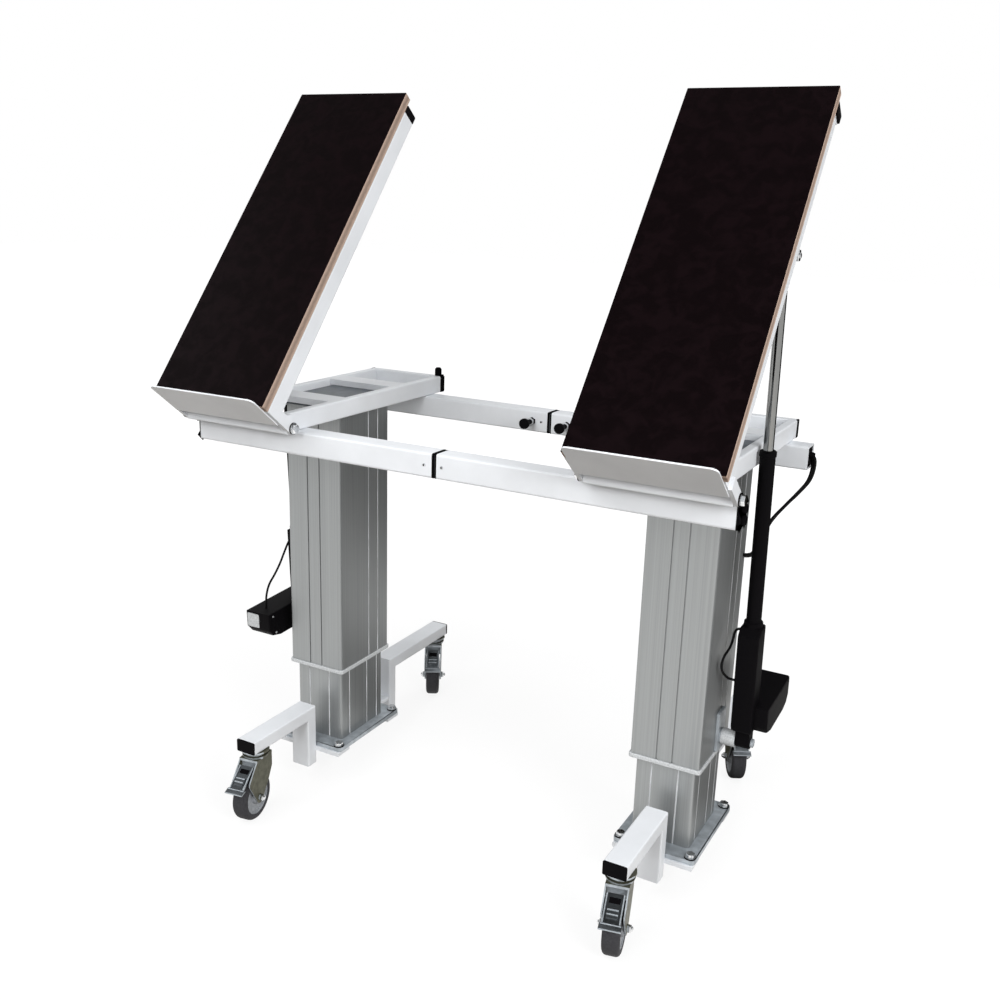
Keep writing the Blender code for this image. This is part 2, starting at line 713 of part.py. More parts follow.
def make_top_frame(unit, side, top, white, black, rubber):
    inner = (INNER_RAIL_X - RAIL_WIDTH / 2, INNER_RAIL_X + RAIL_WIDTH / 2)
    outer = (OUTER_RAIL_X - RAIL_WIDTH / 2, OUTER_RAIL_X + RAIL_WIDTH / 2)
    height = (RAIL_Z, RAIL_TOP_Z)
    hinge_front = PIN_Y - RAIL_WIDTH / 2
    hinge_rear = PIN_Y + RAIL_WIDTH / 2
    rear_across = ((RAIL_REAR_Y, RAIL_REAR_Y + RAIL_WIDTH), height)
    ends = (RAIL_END_INNER + CAP_HEAD + GAP, RAIL_END_OUTER - CAP_HEAD - GAP)
    joins = [
        bar((outer, height), hinge_rear - WELD, RAIL_REAR_Y, "Y"),
        bar(((hinge_front, hinge_rear), height), HINGE_INNER, HINGE_OUTER, "X"),
        bar(
            ((RAIL_REAR_Y - WELD, RAIL_REAR_Y + RAIL_WIDTH), (RAIL_Z + 0.2, RAIL_TOP_Z - 0.2)),
            ends[0], ends[1], "X",
        ),
    ]
    for y in (-CROSS_BAR_Y, CROSS_BAR_Y):
        joins.append(block(
            (inner[1] - WELD, outer[0] + WELD),
            (y - CROSS_BAR_DEPTH / 2, y + CROSS_BAR_DEPTH / 2),
            (TOP_PLATE_Z + PLATE_THICKNESS + GAP, RAIL_TOP_Z - 0.4),
        ))
    cuts = []
    for end, inward in ((HINGE_INNER, 1), (HINGE_OUTER, -1)):
        deep = end + inward * (PIN_DEPTH + GAP)
        cuts.append(drum(PIN_R + 2 * GAP, end - inward, deep, "X", (0, PIN_Y, PIN_Z), 10))
    for end, inward in ((ends[0], 1), (ends[1], -1)):
        deep = end + inward * (CAP_PLUG_DEPTH + GAP)
        cuts.append(cap_plug(rear_across, end - inward, deep, "X", GAP))
    piece(
        f"{unit}_top_frame", top, white,
        bar((inner, height), hinge_rear - WELD, RAIL_REAR_Y, "Y"), joins, cuts, side,
    )
    for name, end, outward in (("inner", ends[0], -1), ("outer", ends[1], 1)):
        near = end + outward * GAP
        far = near + outward * CAP_HEAD
        joins = [cap_plug(rear_across, near + outward, end - outward * CAP_PLUG_DEPTH, "X")]
        head = bar(
            ((RAIL_REAR_Y + GAP, RAIL_REAR_Y + RAIL_WIDTH), (RAIL_Z, RAIL_TOP_Z)), near, far, "X"
        )
        if name == "inner":
            seat = RAIL_TOP_Z + GAP
            middle = end + BUFFER_R
            joins += [
                block(
                    (far, middle), (BUFFER_Y - 6, BUFFER_Y + 6), (seat, seat + 3)
                ),
                block(
                    (far, near), (BUFFER_Y - 5.5, BUFFER_Y + 5.5), (seat - 8, seat + 2.5)
                ),
                lathe(
                    [
                        (0, seat + 0.2), (BUFFER_R, seat + 0.2),
                        (BUFFER_R, RAIL_TOP_Z + BUFFER_HEIGHT - 4),
                        (BUFFER_R - 3, RAIL_TOP_Z + BUFFER_HEIGHT),
                        (0, RAIL_TOP_Z + BUFFER_HEIGHT),
                    ],
                    12, "Z", (middle, BUFFER_Y, 0),
                ),
            ]
        piece(
            f"{unit}_rail_cap_{name}", top, rubber if name == "inner" else black, head, joins,
            side=side,
        )


def make_board(unit, side, board, white, ply, black):
    inner = (BOARD_INNER_X, BOARD_INNER_X + BOARD_TUBE_WIDTH)
    outer_face = BOARD_OUTER_X - BOARD_TUBE_INSET
    outer = (outer_face - BOARD_TUBE_WIDTH, outer_face)
    height = (BOARD_UNDER, BOARD_UNDER + BOARD_TUBE_HEIGHT)
    front = BOARD_FRONT + 0.4
    top_across = ((BOARD_TUBE_END, BOARD_TUBE_END + BOARD_TUBE_WIDTH), height)
    ends = (BOARD_INNER_X + CAP_HEAD + GAP, BOARD_OUTER_X - CAP_HEAD - GAP)
    joins = [
        bar((outer, height), front, BOARD_TUBE_END, "Y"),
        bar(
            ((BOARD_TUBE_END - WELD, BOARD_TUBE_END + BOARD_TUBE_WIDTH),
             (height[0] + 0.2, height[1] - 0.2)),
            ends[0], ends[1], "X",
        ),
        bar(
            ((front - 0.2, front + BOARD_TUBE_WIDTH), (height[0] + 0.2, height[1] - 0.2)),
            inner[1] - WELD, outer[0] + WELD, "X",
        ),
    ]
    for place in (UPPER_PIVOT_U, BUFFER_Y - PIN_Y):
        across = (
            (place - CROSS_TUBE_WIDTH / 2, place + CROSS_TUBE_WIDTH / 2),
            (height[0] + 0.2, height[0] + CROSS_TUBE_HEIGHT),
        )
        joins.append(bar(across, inner[1] - WELD, outer[0] + WELD, "X"))
    half = HINGE_ARM_WIDTH / 2
    arm = [(-half, height[0] + 12), (-half, 0)]
    for step in range(1, 9):
        turn = math.radians(180 + 180 * step / 8)
        arm.append((half * math.cos(turn), half * math.sin(turn)))
    arm.append((half, height[0] + 12))
    for face, inward in ((BOARD_INNER_X + 0.2, 1), (BOARD_OUTER_X - 0.2, -1)):
        inside = face + inward * (ARM_SHEET - 0.2)
        joins.append(prism(arm, face, inside, "X"))
        joins.append(drum(PIN_R, face + inward, inside + inward * PIN_DEPTH, "X", (0, 0, 0), 10))
        joins.append(drum(
            BOLT_HEAD_R, face - inward * BOLT_HEAD_H, face + inward, "X", (0, 0, 0), 6
        ))
    lip_top = BOARD_TOP + LIP_RISE
    lip_left = BOARD_INNER_X + ARM_SHEET
    lip_right = BOARD_OUTER_X - ARM_SHEET
    lip = [(lip_left, LIP_BOTTOM), (lip_right, LIP_BOTTOM)]
    for corner, start in ((lip_right - LIP_CORNER, 0), (lip_left + LIP_CORNER, 90)):
        for step in range(5):
            turn = math.radians(start + 90 * step / 4)
            lip.append((
                corner + LIP_CORNER * math.cos(turn),
                lip_top - LIP_CORNER + LIP_CORNER * math.sin(turn),
            ))
    joins.append(prism(lip, BOARD_FRONT - GAP - LIP_SHEET, BOARD_FRONT - GAP, "Y"))
    joins.append(block(
        (inner[1], outer[0]), (BOARD_FRONT - GAP - 1, front + 2), (height[0] + 6, height[1] - 6)
    ))
    ear = [(EAR_WIDTH / 2, height[0] + 6), (-EAR_WIDTH / 2, height[0] + 6)]
    for step in range(9):
        turn = math.radians(180 + 180 * step / 8)
        ear.append((
            EAR_WIDTH / 2 * math.cos(turn), UPPER_PIVOT_V + EAR_WIDTH / 2 * math.sin(turn)
        ))
    ear = [(UPPER_PIVOT_U + a, b) for a, b in ear]
    for outward in (-1, 1):
        near = ACTUATOR_X + outward * (EYE_WIDTH / 2 + 2 * RUNNING_GAP)
        far = near + outward * EAR_SHEET
        joins.append(prism(ear, near, far, "X"))
        joins.append(drum(
            EAR_BOLT_R, far - outward, far + outward * EAR_BOLT_H, "X",
            (0, UPPER_PIVOT_U, UPPER_PIVOT_V), 6,
        ))
    joins.append(drum(
        EAR_THREAD_R, far, far + EAR_BOLT_H + EAR_THREAD, "X", (0, UPPER_PIVOT_U, UPPER_PIVOT_V), 10
    ))
    cuts = []
    for end, inward in ((ends[0], 1), (ends[1], -1)):
        deep = end + inward * (CAP_PLUG_DEPTH + GAP)
        cuts.append(cap_plug(top_across, end - inward, deep, "X", GAP))
    piece(
        f"{unit}_board_frame", board, white,
        bar((inner, height), front, BOARD_TUBE_END, "Y"), joins, cuts, side,
    )
    piece(
        f"{unit}_board_panel", board, ply,
        prism(
            rounded(
                BOARD_OUTER_X - BOARD_INNER_X, BOARD_LENGTH, PLY_EDGE,
                ((BOARD_OUTER_X + BOARD_INNER_X) / 2, BOARD_FRONT + BOARD_LENGTH / 2),
            ),
            BOARD_TOP - PLY_THICKNESS, BOARD_TOP, "Z",
        ),
        side=side,
    )
    for name, end, outward in (("inner", ends[0], -1), ("outer", ends[1], 1)):
        near = end + outward * GAP
        piece(
            f"{unit}_board_cap_{name}", board, black,
            bar(
                ((BOARD_TUBE_END + GAP, BOARD_TUBE_END + BOARD_TUBE_WIDTH), height),
                near, near + outward * CAP_HEAD, "X",
            ),
            [cap_plug(top_across, near + outward, end - outward * CAP_PLUG_DEPTH, "X")],
            side=side,
        )


def make_actuator(unit, side, top, zinc, black, chrome):
    """The lifting actuator of a board. The left one is the right one turned half round."""
    face = OUTER_WIDTH / 2 + GAP
    half = BLOCK_WIDTH / 2
    boss_end = ACTUATOR_X - LUG_WIDTH / 2 - RUNNING_GAP
    stud_end = ACTUATOR_X + LUG_WIDTH / 2 + RUNNING_GAP
    bracket_z = OUTER_BOTTOM_Z + RUNNING_GAP + BRACKET_HEIGHT / 2
    pivot = (0, LOWER_PIVOT_Y, LOWER_PIVOT_Z)
    stud = [
        (0, boss_end - WELD), (STUD_R, boss_end - WELD), (STUD_R, stud_end),
        (STUD_HEAD_R, stud_end), (STUD_HEAD_R, stud_end + STUD_HEAD_H),
        (0, stud_end + STUD_HEAD_H),
    ]
    piece(
        f"{unit}_actuator_bracket", top, zinc,
        prism(
            rounded(BRACKET_WIDTH, BRACKET_HEIGHT, 5.0, (LOWER_PIVOT_Y, bracket_z)),
            face, face + BRACKET_SHEET, "X",
        ),
        [
            drum(BRACKET_BOSS_R, face + WELD, boss_end, "X", pivot, 16),
            lathe(stud, 12, "X", pivot),
        ],
        side=side,
    )
    swing = joint(
        f"{unit}_actuator_swing", top,
        (side * ACTUATOR_X, LOWER_PIVOT_Y, LOWER_PIVOT_Z), (ACTUATOR_LEAN, 0, 0),
    )
    turned = joint(
        f"{unit}_actuator_turn", swing, turn=(0, 0, 0 if side > 0 else math.pi)
    )
    body = [
        (-BLOCK_FRONT + 6, BLOCK_BOTTOM), (BLOCK_REAR, BLOCK_BOTTOM), (BLOCK_REAR, BLOCK_TOP),
        (-BLOCK_FRONT + 14, BLOCK_TOP), (-BLOCK_FRONT, BLOCK_TOP - 16),
        (-BLOCK_FRONT, BLOCK_BOTTOM + 8),
    ]
    motor = [
        (-MOTOR_FRONT, MOTOR_BOTTOM + 24), (-MOTOR_FRONT + 12, MOTOR_BOTTOM + 8),
        (-MOTOR_FRONT + 40, MOTOR_BOTTOM), (MOTOR_REAR - 40, MOTOR_BOTTOM),
        (MOTOR_REAR - 14, MOTOR_BOTTOM + 7), (MOTOR_REAR, MOTOR_BOTTOM + 24),
        (MOTOR_REAR, MOTOR_TOP), (-MOTOR_FRONT, MOTOR_TOP),
    ]
    lug = [(LUG_R, BLOCK_BOTTOM + BLOCK_EDGE + 1), (-LUG_R, BLOCK_BOTTOM + BLOCK_EDGE + 1)]
    for step in range(9):
        turn = math.pi + math.pi * step / 8
        lug.append((LUG_R * math.cos(turn), LUG_R * math.sin(turn)))
    tube = [
        (0, BLOCK_TOP - WELD), (TUBE_R + 4, BLOCK_TOP - WELD), (TUBE_R + 4, BLOCK_TOP + 9),
        (TUBE_R, BLOCK_TOP + 11), (TUBE_R, TUBE_TOP - TUBE_CAP_H),
        (TUBE_CAP_R, TUBE_TOP - TUBE_CAP_H + 1), (TUBE_CAP_R, TUBE_TOP - 2),
        (TUBE_CAP_R - 2, TUBE_TOP), (0, TUBE_TOP),
    ]
    piece(
        f"{unit}_actuator_housing", turned, black,
        prism(body, -half, half, "X", BLOCK_EDGE),
        [
            prism(motor, -half - 0.8, MOTOR_WIDTH - half, "X", MOTOR_EDGE / 2),
            lathe(tube, 20),
            prism(lug, -LUG_WIDTH / 2, LUG_WIDTH / 2, "X"),
        ],
        [
            drum(ROD_R + RUNNING_GAP, BORE_BOTTOM, TUBE_TOP + 1, "Z", (0, 0, 0), 16),
            drum(STUD_R + 2 * GAP, -half - 5, half + 5, "X", (0, 0, 0), 12),
        ],
    )
    rod = joint(f"{unit}_rod_end", turned, (0, 0, ACTUATOR_LENGTH))
    stem = [(0, -ROD_LENGTH), (ROD_R - 1, -ROD_LENGTH), (ROD_R, -ROD_LENGTH + 1)]
    neck = EYE_WIDTH / 2 - RUNNING_GAP
    stem += [(ROD_R, -EYE_R - 6), (neck, -EYE_R - 3), (neck, -EYE_R + 4), (0, -EYE_R + 4)]
    piece(
        f"{unit}_actuator_rod", rod, chrome,
        lathe(stem, 16),
        [drum(EYE_R, -EYE_WIDTH / 2, EYE_WIDTH / 2, "X", (0, 0, 0), 16)],
    )
    return turned


def make_cables(tops, actuators, black):
    """The leads seen on the table, each between two places on its own body."""
    half = COLUMN_SPACING / 2
    entry = OUTER_WIDTH / 2 + GAP
    end = BEAM_END_X - half
    upper = [
        (end - 16, 238, 891), (end + 6, 239, 888), (end + 12, 236, 870), (end + 8, 224, 840),
        (end - 3, 178, 820), (end - 20, 158, 798), (110, 143, 762), (99, 110, 725),
        (94.4, 90, 707), (89, 83, 701), (entry + 3, 80, 699), (entry, 80, 699),
    ]
    lower = [(x - 0.07 * (x - entry), y + 9, z - 5) for x, y, z in upper]
    cord("right_beam_cable_upper", tops["right"], black, upper, BEAM_CABLE_R)
    cord("right_beam_cable_lower", tops["right"], black, lower, BEAM_CABLE_R)
    side_face = -BLOCK_WIDTH / 2 - GAP
    loop = [
        (side_face, -24, 147), (side_face - 2, -24, 147), (-31.9, -26.1, 148.7), (-36.1, -31.4, 153.2),
        (-42, -46, 170), (-44, -50, 187), (-43, -40, 202), (-39, -19, 213), (-37.5, -7, 225),
        (-36.1, -0.6, 240.5), (-32.1, 2, 247.3), (side_face - 2, 3, 250), (side_face, 3, 250),
    ]
    cord("right_motor_cable", actuators["right"], black, loop, MOTOR_CABLE_R)
    front_face = BLOCK_REAR + GAP
    lead = [
        (15, 117, MOTOR_TOP + GAP), (15, 117, MOTOR_TOP + 5), (13, 116, 126), (10, 107, 152),
        (5, 90, 174), (0, 75, 197), (-5, 63, 222), (-6, 48, 242), (-2, 30, 251), (0, front_face + 5, 252),
        (0, front_face, 252),
    ]
    cord("left_motor_cable", actuators["left"], black, lead, MOTOR_CABLE_R)


def make_bars(top, silver):
    """The square bars on which the right unit slides, held in the left unit's beams."""
    middle = -COLUMN_SPACING / 2
    hollow = BAR_SIZE - 2 * TUBE_WALL
    for name, y in (("front", FRONT_BEAM_Y), ("rear", REAR_BEAM_Y)):
        centre = (y, BEAM_TOP_Z - BEAM_SIZE / 2)
        ends = (middle - BAR_LENGTH / 2, middle + BAR_LENGTH / 2)
        piece(
            f"{name}_connecting_bar", top, silver,
            prism(rounded(BAR_SIZE, BAR_SIZE, 2.0, centre), ends[0], ends[1], "X"),
            cuts=[prism(rounded(hollow, hollow, 1.5, centre), ends[0] - 1, ends[1] + 1, "X")],
            side=-1,
        )


def main():
    for obj in list(bpy.data.objects):
        bpy.data.objects.remove(obj, do_unlink=True)
    white = finish("white_powder_coat", (0.78, 0.80, 0.82), 0.45)
    silver = finish("anodised_aluminium", (0.46, 0.46, 0.44), 0.38, 0.9)
    zinc = finish("zinc_plate", (0.42, 0.45, 0.48), 0.35, 0.9)
    grey = finish("grey_plate", (0.24, 0.26, 0.29), 0.5)
    pale = finish("pale_plastic", (0.62, 0.62, 0.60), 0.5)
    black = finish("black_plastic", (0.012, 0.012, 0.013), 0.45)
    rubber = finish("black_rubber", (0.015, 0.015, 0.015), 0.8)
    tyre = finish("grey_tyre", (0.07, 0.07, 0.072), 0.7)
    chrome = finish("chromed_rod", (0.62, 0.62, 0.62), 0.12, 1.0)
    ply = finish("film_faced_plywood", (0.016, 0.011, 0.010), 0.4)

    table = joint("table", None, (0, -FOOTPRINT_CENTRE_Y, 0))
    tops = {}
    actuators = {}
    for unit, side, turns in (
        ("left", -1, (LEFT_FRONT_TURN_DEG, LEFT_REAR_TURN_DEG)),
        ("right", 1, (RIGHT_FRONT_TURN_DEG, RIGHT_REAR_TURN_DEG)),
    ):
        centre = (side * COLUMN_SPACING / 2, 0, 0)
        base = joint(f"{unit}_base", table, centre)
        top = joint(f"{unit}_top", table, centre)
        tops[unit] = top
        make_foot(unit, side, base, white, zinc, black)
        make_column(unit, side, base, top, silver, pale, grey)
        front_y = FRONT_ARM_Y + CASTOR_INSET
        rear_y = REAR_ARM_Y - CASTOR_INSET
        arm_x = side * ARM_OFFSET
        make_castor(f"{unit}_castor_front", base, (arm_x, front_y, 0), turns[0], zinc, tyre)
        make_castor(f"{unit}_castor_rear", base, (arm_x, rear_y, 0), turns[1], zinc, tyre)
        make_beams(unit, side, top, white, black)
        make_top_frame(unit, side, top, white, black, rubber)
        board = joint(f"{unit}_board_hinge", top, (0, PIN_Y, PIN_Z), (TILT, 0, 0))
        make_board(unit, side, board, white, ply, black)
        actuators[unit] = make_actuator(unit, side, top, zinc, black, chrome)
    make_bars(tops["left"], silver)
    make_cables(tops, actuators, black)


main()
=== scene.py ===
"""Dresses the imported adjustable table: finishes, castors, fittings, actuators, cables and stage."""

import json
import math

import bmesh
import bpy
from bpy.props import FloatProperty, FloatVectorProperty, PointerProperty
from mathutils import Matrix, Vector


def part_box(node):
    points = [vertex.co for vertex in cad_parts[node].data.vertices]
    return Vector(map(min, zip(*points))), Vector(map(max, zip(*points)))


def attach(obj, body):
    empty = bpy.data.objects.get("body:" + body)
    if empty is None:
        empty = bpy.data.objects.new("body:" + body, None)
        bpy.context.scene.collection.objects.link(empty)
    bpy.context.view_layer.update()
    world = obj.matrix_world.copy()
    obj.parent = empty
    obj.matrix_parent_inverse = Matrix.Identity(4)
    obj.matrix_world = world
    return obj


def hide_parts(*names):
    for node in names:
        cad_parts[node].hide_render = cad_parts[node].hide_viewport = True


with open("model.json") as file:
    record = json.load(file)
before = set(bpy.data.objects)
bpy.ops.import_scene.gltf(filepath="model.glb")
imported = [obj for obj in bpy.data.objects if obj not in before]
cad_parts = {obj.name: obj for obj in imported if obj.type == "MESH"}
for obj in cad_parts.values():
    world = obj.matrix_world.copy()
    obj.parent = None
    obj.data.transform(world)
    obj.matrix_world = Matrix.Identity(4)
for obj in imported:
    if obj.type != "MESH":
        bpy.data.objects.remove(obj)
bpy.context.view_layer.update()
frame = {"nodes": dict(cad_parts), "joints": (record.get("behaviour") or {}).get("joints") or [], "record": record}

bl_info = {
    "name": "Adjustable table dressing",
    "version": (1, 0, 0),
    "blender": (4, 5, 0),
    "location": "View3D > Sidebar > Table",
    "description": "Finishes, fittings and cables of a table with lifting columns and tilting boards",
    "category": "Object",
}

JOINTS = {joint["name"]: joint for joint in frame["joints"]}
UNITS = (("left", -1), ("right", 1))
CASTORS = [f"{unit}_castor_{end}" for unit, _ in UNITS for end in ("front", "rear")]
COLUMN_X = JOINTS["right_lift"]["pos_m"][0]
COLUMN_Y = JOINTS["right_lift"]["pos_m"][1]
HINGE = Vector(JOINTS["right_board_tilt"]["pos_m"])
TILT = math.radians(-JOINTS["right_board_tilt"]["range_deg"][0])
ROD_AXIS = Vector(JOINTS["right_rod_stroke"]["axis"])
LEAN = math.atan2(-ROD_AXIS.y, ROD_AXIS.z)
QUARTER = math.pi / 2
# Edges sharper than the first angle get a bevel, and those below the second are shaded smooth
SHARP = math.radians(40)
SMOOTH = math.radians(38)
BEAM_HALF = 0.025
FERRULE_ALONG = 0.0185
# A plunger's knob stands this much further out than the model's, and its collar this far behind
KNOB_FURTHER = 0.01
COLLAR_BEHIND = 0.0415
HUB_RADIUS = 0.0404
PEDAL_SLOPE = math.radians(38.4)
# An axle nut's seat from the wheel's middle, and a bush's middle from its actuator's pivot
AXLE_NUT_OUT = 0.0274
BUSH_IN = 0.0306
# The motor's side that shows its screws, in the actuator's own x
MOTOR_FACE = -0.0228
# An actuator's ear from the hinge of a level board, and the two ends of its bolt from the column
EAR = Vector((0.0, 0.4735, 0.027))
EAR_NUT_OUT = 0.145
EAR_HEAD_OUT = 0.115
# How far a hinge bolt's washer is let into the board frame's side
SUNK = 0.0002
# Foot bolts: their places from the column's middle, and the height of the model's own bolts
FOOT_BOLT_X = 0.077
FOOT_BOLT_Y = 0.114
FOOT_BOLT_HEIGHT = 0.0095
# The column profiles' grooves lie between these depths, away from the rounded corners
GROOVE_LIP = 0.0003
GROOVE_DEPTH = 0.003
CORNER = 0.009
SLOT_OF = {part["node"]: part["material_slot"] for part in frame["record"]["subparts"]}
BODY_OF = {
    piece: body for body, pieces in frame["record"]["behaviour"]["bodies"].items() for piece in pieces
}
FINISH_OF = {
    "white_coat": "white_powder_coat", "anodised": "silver_anodised_aluminium",
    "zinc": "zinc_plated_steel", "bar_zinc": "zinc_bar_painted_shade", "grey_plate": "grey_painted_plate",
    "pale_plastic": "pale_glide_plastic", "black_plastic": "moulded_black_nylon",
    "black_rubber": "soft_black_rubber", "tyre_grey": "grey_rubber_tread",
    "chromed": "hard_chromed_rod", "plywood": "film_faced_plywood",
}


def linear(hex_colour):
    """Linear RGBA of an sRGB hex colour."""
    channels = []
    for start in (1, 3, 5):
        value = int(hex_colour[start:start + 2], 16) / 255
        channels.append(value / 12.92 if value <= 0.04045 else ((value + 0.055) / 1.055) ** 2.4)
    return (*channels, 1.0)


def colour(label, text, hex_colour):
    """A colour that a user can change."""
    return FloatVectorProperty(
        name=label, description=text, subtype="COLOR", size=4, min=0.0, max=1.0,
        default=linear(hex_colour),
    )


def length(label, text, metres):
    """A length that a user can change."""
    return FloatProperty(
        name=label, description=text, unit="LENGTH", min=0.0001, default=metres, precision=4
    )


class TableSizes(bpy.types.PropertyGroup):
    rim: length("Joint rim", "Thickness of the black rim at a beam's inner end", 0.0036)
    plug: length("Beam plug", "Thickness of a beam plug's flange", 0.003)
    knob: length("Plunger knob", "Radius of an indexing plunger's knob", 0.0125)
    beam_cable: length("Beam cable", "Diameter of the cables from the rear beam", 0.007)
    motor_cable: length("Motor lead", "Diameter of an actuator's motor lead", 0.0052)


class TableFinishes(bpy.types.PropertyGroup):
    coat: colour("Powder coat", "White coat of the tubes", "#E3E6EA")
    anodised: colour("Anodised", "Silver of the lifting columns", "#9EA1A2")
    zinc: colour("Zinc", "Plated steel of pedals and plates", "#8F959A")
    bolt: colour("Bolt", "Bright plated bolts", "#E4E6E8")
    fork: colour("Fork", "Yellowish plating of the castor forks", "#585849")
    plate: colour("Top plate", "Grey plate on a column", "#596067")
    pale: colour("Pale plastic", "Glide collar of a column", "#C4C7C9")
    black: colour("Black plastic", "Moulded caps, knobs and housings", "#0A090B")
    rubber: colour("Rubber", "Buffers and cable sheaths", "#080809")
    tread: colour("Tread", "Castor tyres", "#39393C")
    hub: colour("Hub", "Castor wheel bodies", "#8C9095")
    chrome: colour("Chrome", "Actuator rods", "#888988")
    film: colour("Film", "Dark face of the boards", "#0F080A")
    veneer: colour("Veneer", "Sanded edge of the boards", "#B09A8C")


def node(tree, kind, inputs=(), **settings):
    """Adds a node, sets it up and feeds its sockets with values or other sockets."""
    made = tree.nodes.new(kind)
    for name, value in settings.items():
        setattr(made, name, value)
    for name, value in dict(inputs).items():
        if isinstance(value, bpy.types.NodeSocket):
            tree.links.new(value, made.inputs[name])
        else:
            made.inputs[name].default_value = value
    return made


def blank(name, **sockets):
    """A material, its tree, its shader with these sockets set, and the object's coordinates."""
    made = bpy.data.materials.new(name)
    made.use_nodes = True
    tree = made.node_tree
    shader = tree.nodes["Principled BSDF"]
    for socket, value in sockets.items():
        shader.inputs[socket.replace("_", " ")].default_value = value
    return made, tree, shader, tree.nodes.new("ShaderNodeTexCoord").outputs["Object"]


def shade(tint, factor):
    """A colour made darker or lighter."""
    return (*(min(1.0, channel * factor) for channel in tint[:3]), 1.0)


def powder_coat(tint):
    """White polyester powder coat: soft gloss, faint orange peel, a little workshop dust."""
    made, tree, shader, place = blank("white_powder_coat", Roughness=0.42, IOR=1.5)
    dust = node(tree, "ShaderNodeTexNoise", {"Vector": place, "Scale": 1 / 0.11, "Detail": 4.0})
    tone = node(tree, "ShaderNodeValToRGB", {"Fac": dust.outputs["Fac"]})
    tone.color_ramp.elements[0].position = 0.35
    tone.color_ramp.elements[0].color = shade(tint, 0.93)
    tone.color_ramp.elements[1].position = 0.62
    tone.color_ramp.elements[1].color = tint
    tree.links.new(tone.outputs["Color"], shader.inputs["Base Color"])
    # Real orange peel is 1 to 2 mm across; drawn at 4 mm so that it shows
    peel = node(tree, "ShaderNodeTexNoise", {"Vector": place, "Scale": 1 / 0.004, "Detail": 1.0})
    bump = node(tree, "ShaderNodeBump", {
        "Height": peel.outputs["Fac"], "Strength": 0.12, "Distance": 0.0004,
    })
    tree.links.new(bump.outputs["Normal"], shader.inputs["Normal"])
    return made


def anodised(tint):
    """Silver anodised extrusion: satin metal with fine die lines along its length."""
    made, tree, shader, place = blank("silver_anodised_aluminium", Metallic=0.76)
    # Die lines are a few tenths of a millimetre; drawn at 3 mm so that they show
    along = node(tree, "ShaderNodeMapping", {"Vector": place, "Scale": (330.0, 330.0, 1.6)})
    lines = node(tree, "ShaderNodeTexNoise", {
        "Vector": along.outputs["Vector"], "Scale": 1.0, "Detail": 3.0,
    })
    tone = node(tree, "ShaderNodeValToRGB", {"Fac": lines.outputs["Fac"]})
    tone.color_ramp.elements[0].position = 0.3
    tone.color_ramp.elements[0].color = shade(tint, 0.88)
    tone.color_ramp.elements[1].position = 0.7
    tone.color_ramp.elements[1].color = shade(tint, 1.06)
    tree.links.new(tone.outputs["Color"], shader.inputs["Base Color"])
    dull = node(tree, "ShaderNodeMapRange", {
        "Value": lines.outputs["Fac"], "To Min": 0.4, "To Max": 0.54,
    })
    tree.links.new(dull.outputs["Result"], shader.inputs["Roughness"])
    bump = node(tree, "ShaderNodeBump", {
        "Height": lines.outputs["Fac"], "Strength": 0.06, "Distance": 0.0003,
    })
    tree.links.new(bump.outputs["Normal"], shader.inputs["Normal"])
    return made


def plated(name, tint, roughness, cloud, metal=1.0):
    """Zinc plating: bright metal with cloudy patches of a given size in metres."""
    made, tree, shader, place = blank(name, Metallic=metal)
    patch = node(tree, "ShaderNodeTexNoise", {"Vector": place, "Scale": 1 / cloud, "Detail": 3.0})
    tone = node(tree, "ShaderNodeValToRGB", {"Fac": patch.outputs["Fac"]})
    tone.color_ramp.elements[0].position = 0.34
    tone.color_ramp.elements[0].color = shade(tint, 0.72)
    tone.color_ramp.elements[1].position = 0.66
    tone.color_ramp.elements[1].color = tint
    tree.links.new(tone.outputs["Color"], shader.inputs["Base Color"])
    dull = node(tree, "ShaderNodeMapRange", {
        "Value": patch.outputs["Fac"], "To Min": roughness * 1.3, "To Max": roughness * 0.75,
    })
    tree.links.new(dull.outputs["Result"], shader.inputs["Roughness"])
    return made


def moulded(name, tint, roughness, grain, level):
    """Moulded plastic or rubber with a leathery grain of a given size in metres."""
    made, tree, shader, place = blank(name, Roughness=roughness, Specular_IOR_Level=level)
    cell = node(tree, "ShaderNodeTexNoise", {"Vector": place, "Scale": 1 / grain, "Detail": 2.0})
    tone = node(tree, "ShaderNodeValToRGB", {"Fac": cell.outputs["Fac"]})
    tone.color_ramp.elements[0].position = 0.3
    tone.color_ramp.elements[0].color = shade(tint, 0.8)
    tone.color_ramp.elements[1].position = 0.7
    tone.color_ramp.elements[1].color = shade(tint, 1.15)
    tree.links.new(tone.outputs["Color"], shader.inputs["Base Color"])
    bump = node(tree, "ShaderNodeBump", {
        "Height": cell.outputs["Fac"], "Strength": 0.2, "Distance": 0.0003,
    })
    tree.links.new(bump.outputs["Normal"], shader.inputs["Normal"])
    return made


def chromed(tint):
    """Hard chrome on a ground rod: a mirror with a faint haze left by the grinding."""
    made, tree, shader, place = blank("hard_chromed_rod", Metallic=1.0)
    haze = node(tree, "ShaderNodeTexNoise", {"Vector": place, "Scale": 1 / 0.006, "Detail": 2.0})
    tone = node(tree, "ShaderNodeValToRGB", {"Fac": haze.outputs["Fac"]})
    tone.color_ramp.elements[0].color = shade(tint, 0.86)
    tone.color_ramp.elements[1].color = tint
    tree.links.new(tone.outputs["Color"], shader.inputs["Base Color"])
    dull = node(tree, "ShaderNodeMapRange", {
        "Value": haze.outputs["Fac"], "To Min": 0.07, "To Max": 0.15,
    })
    tree.links.new(dull.outputs["Result"], shader.inputs["Roughness"])
    return made


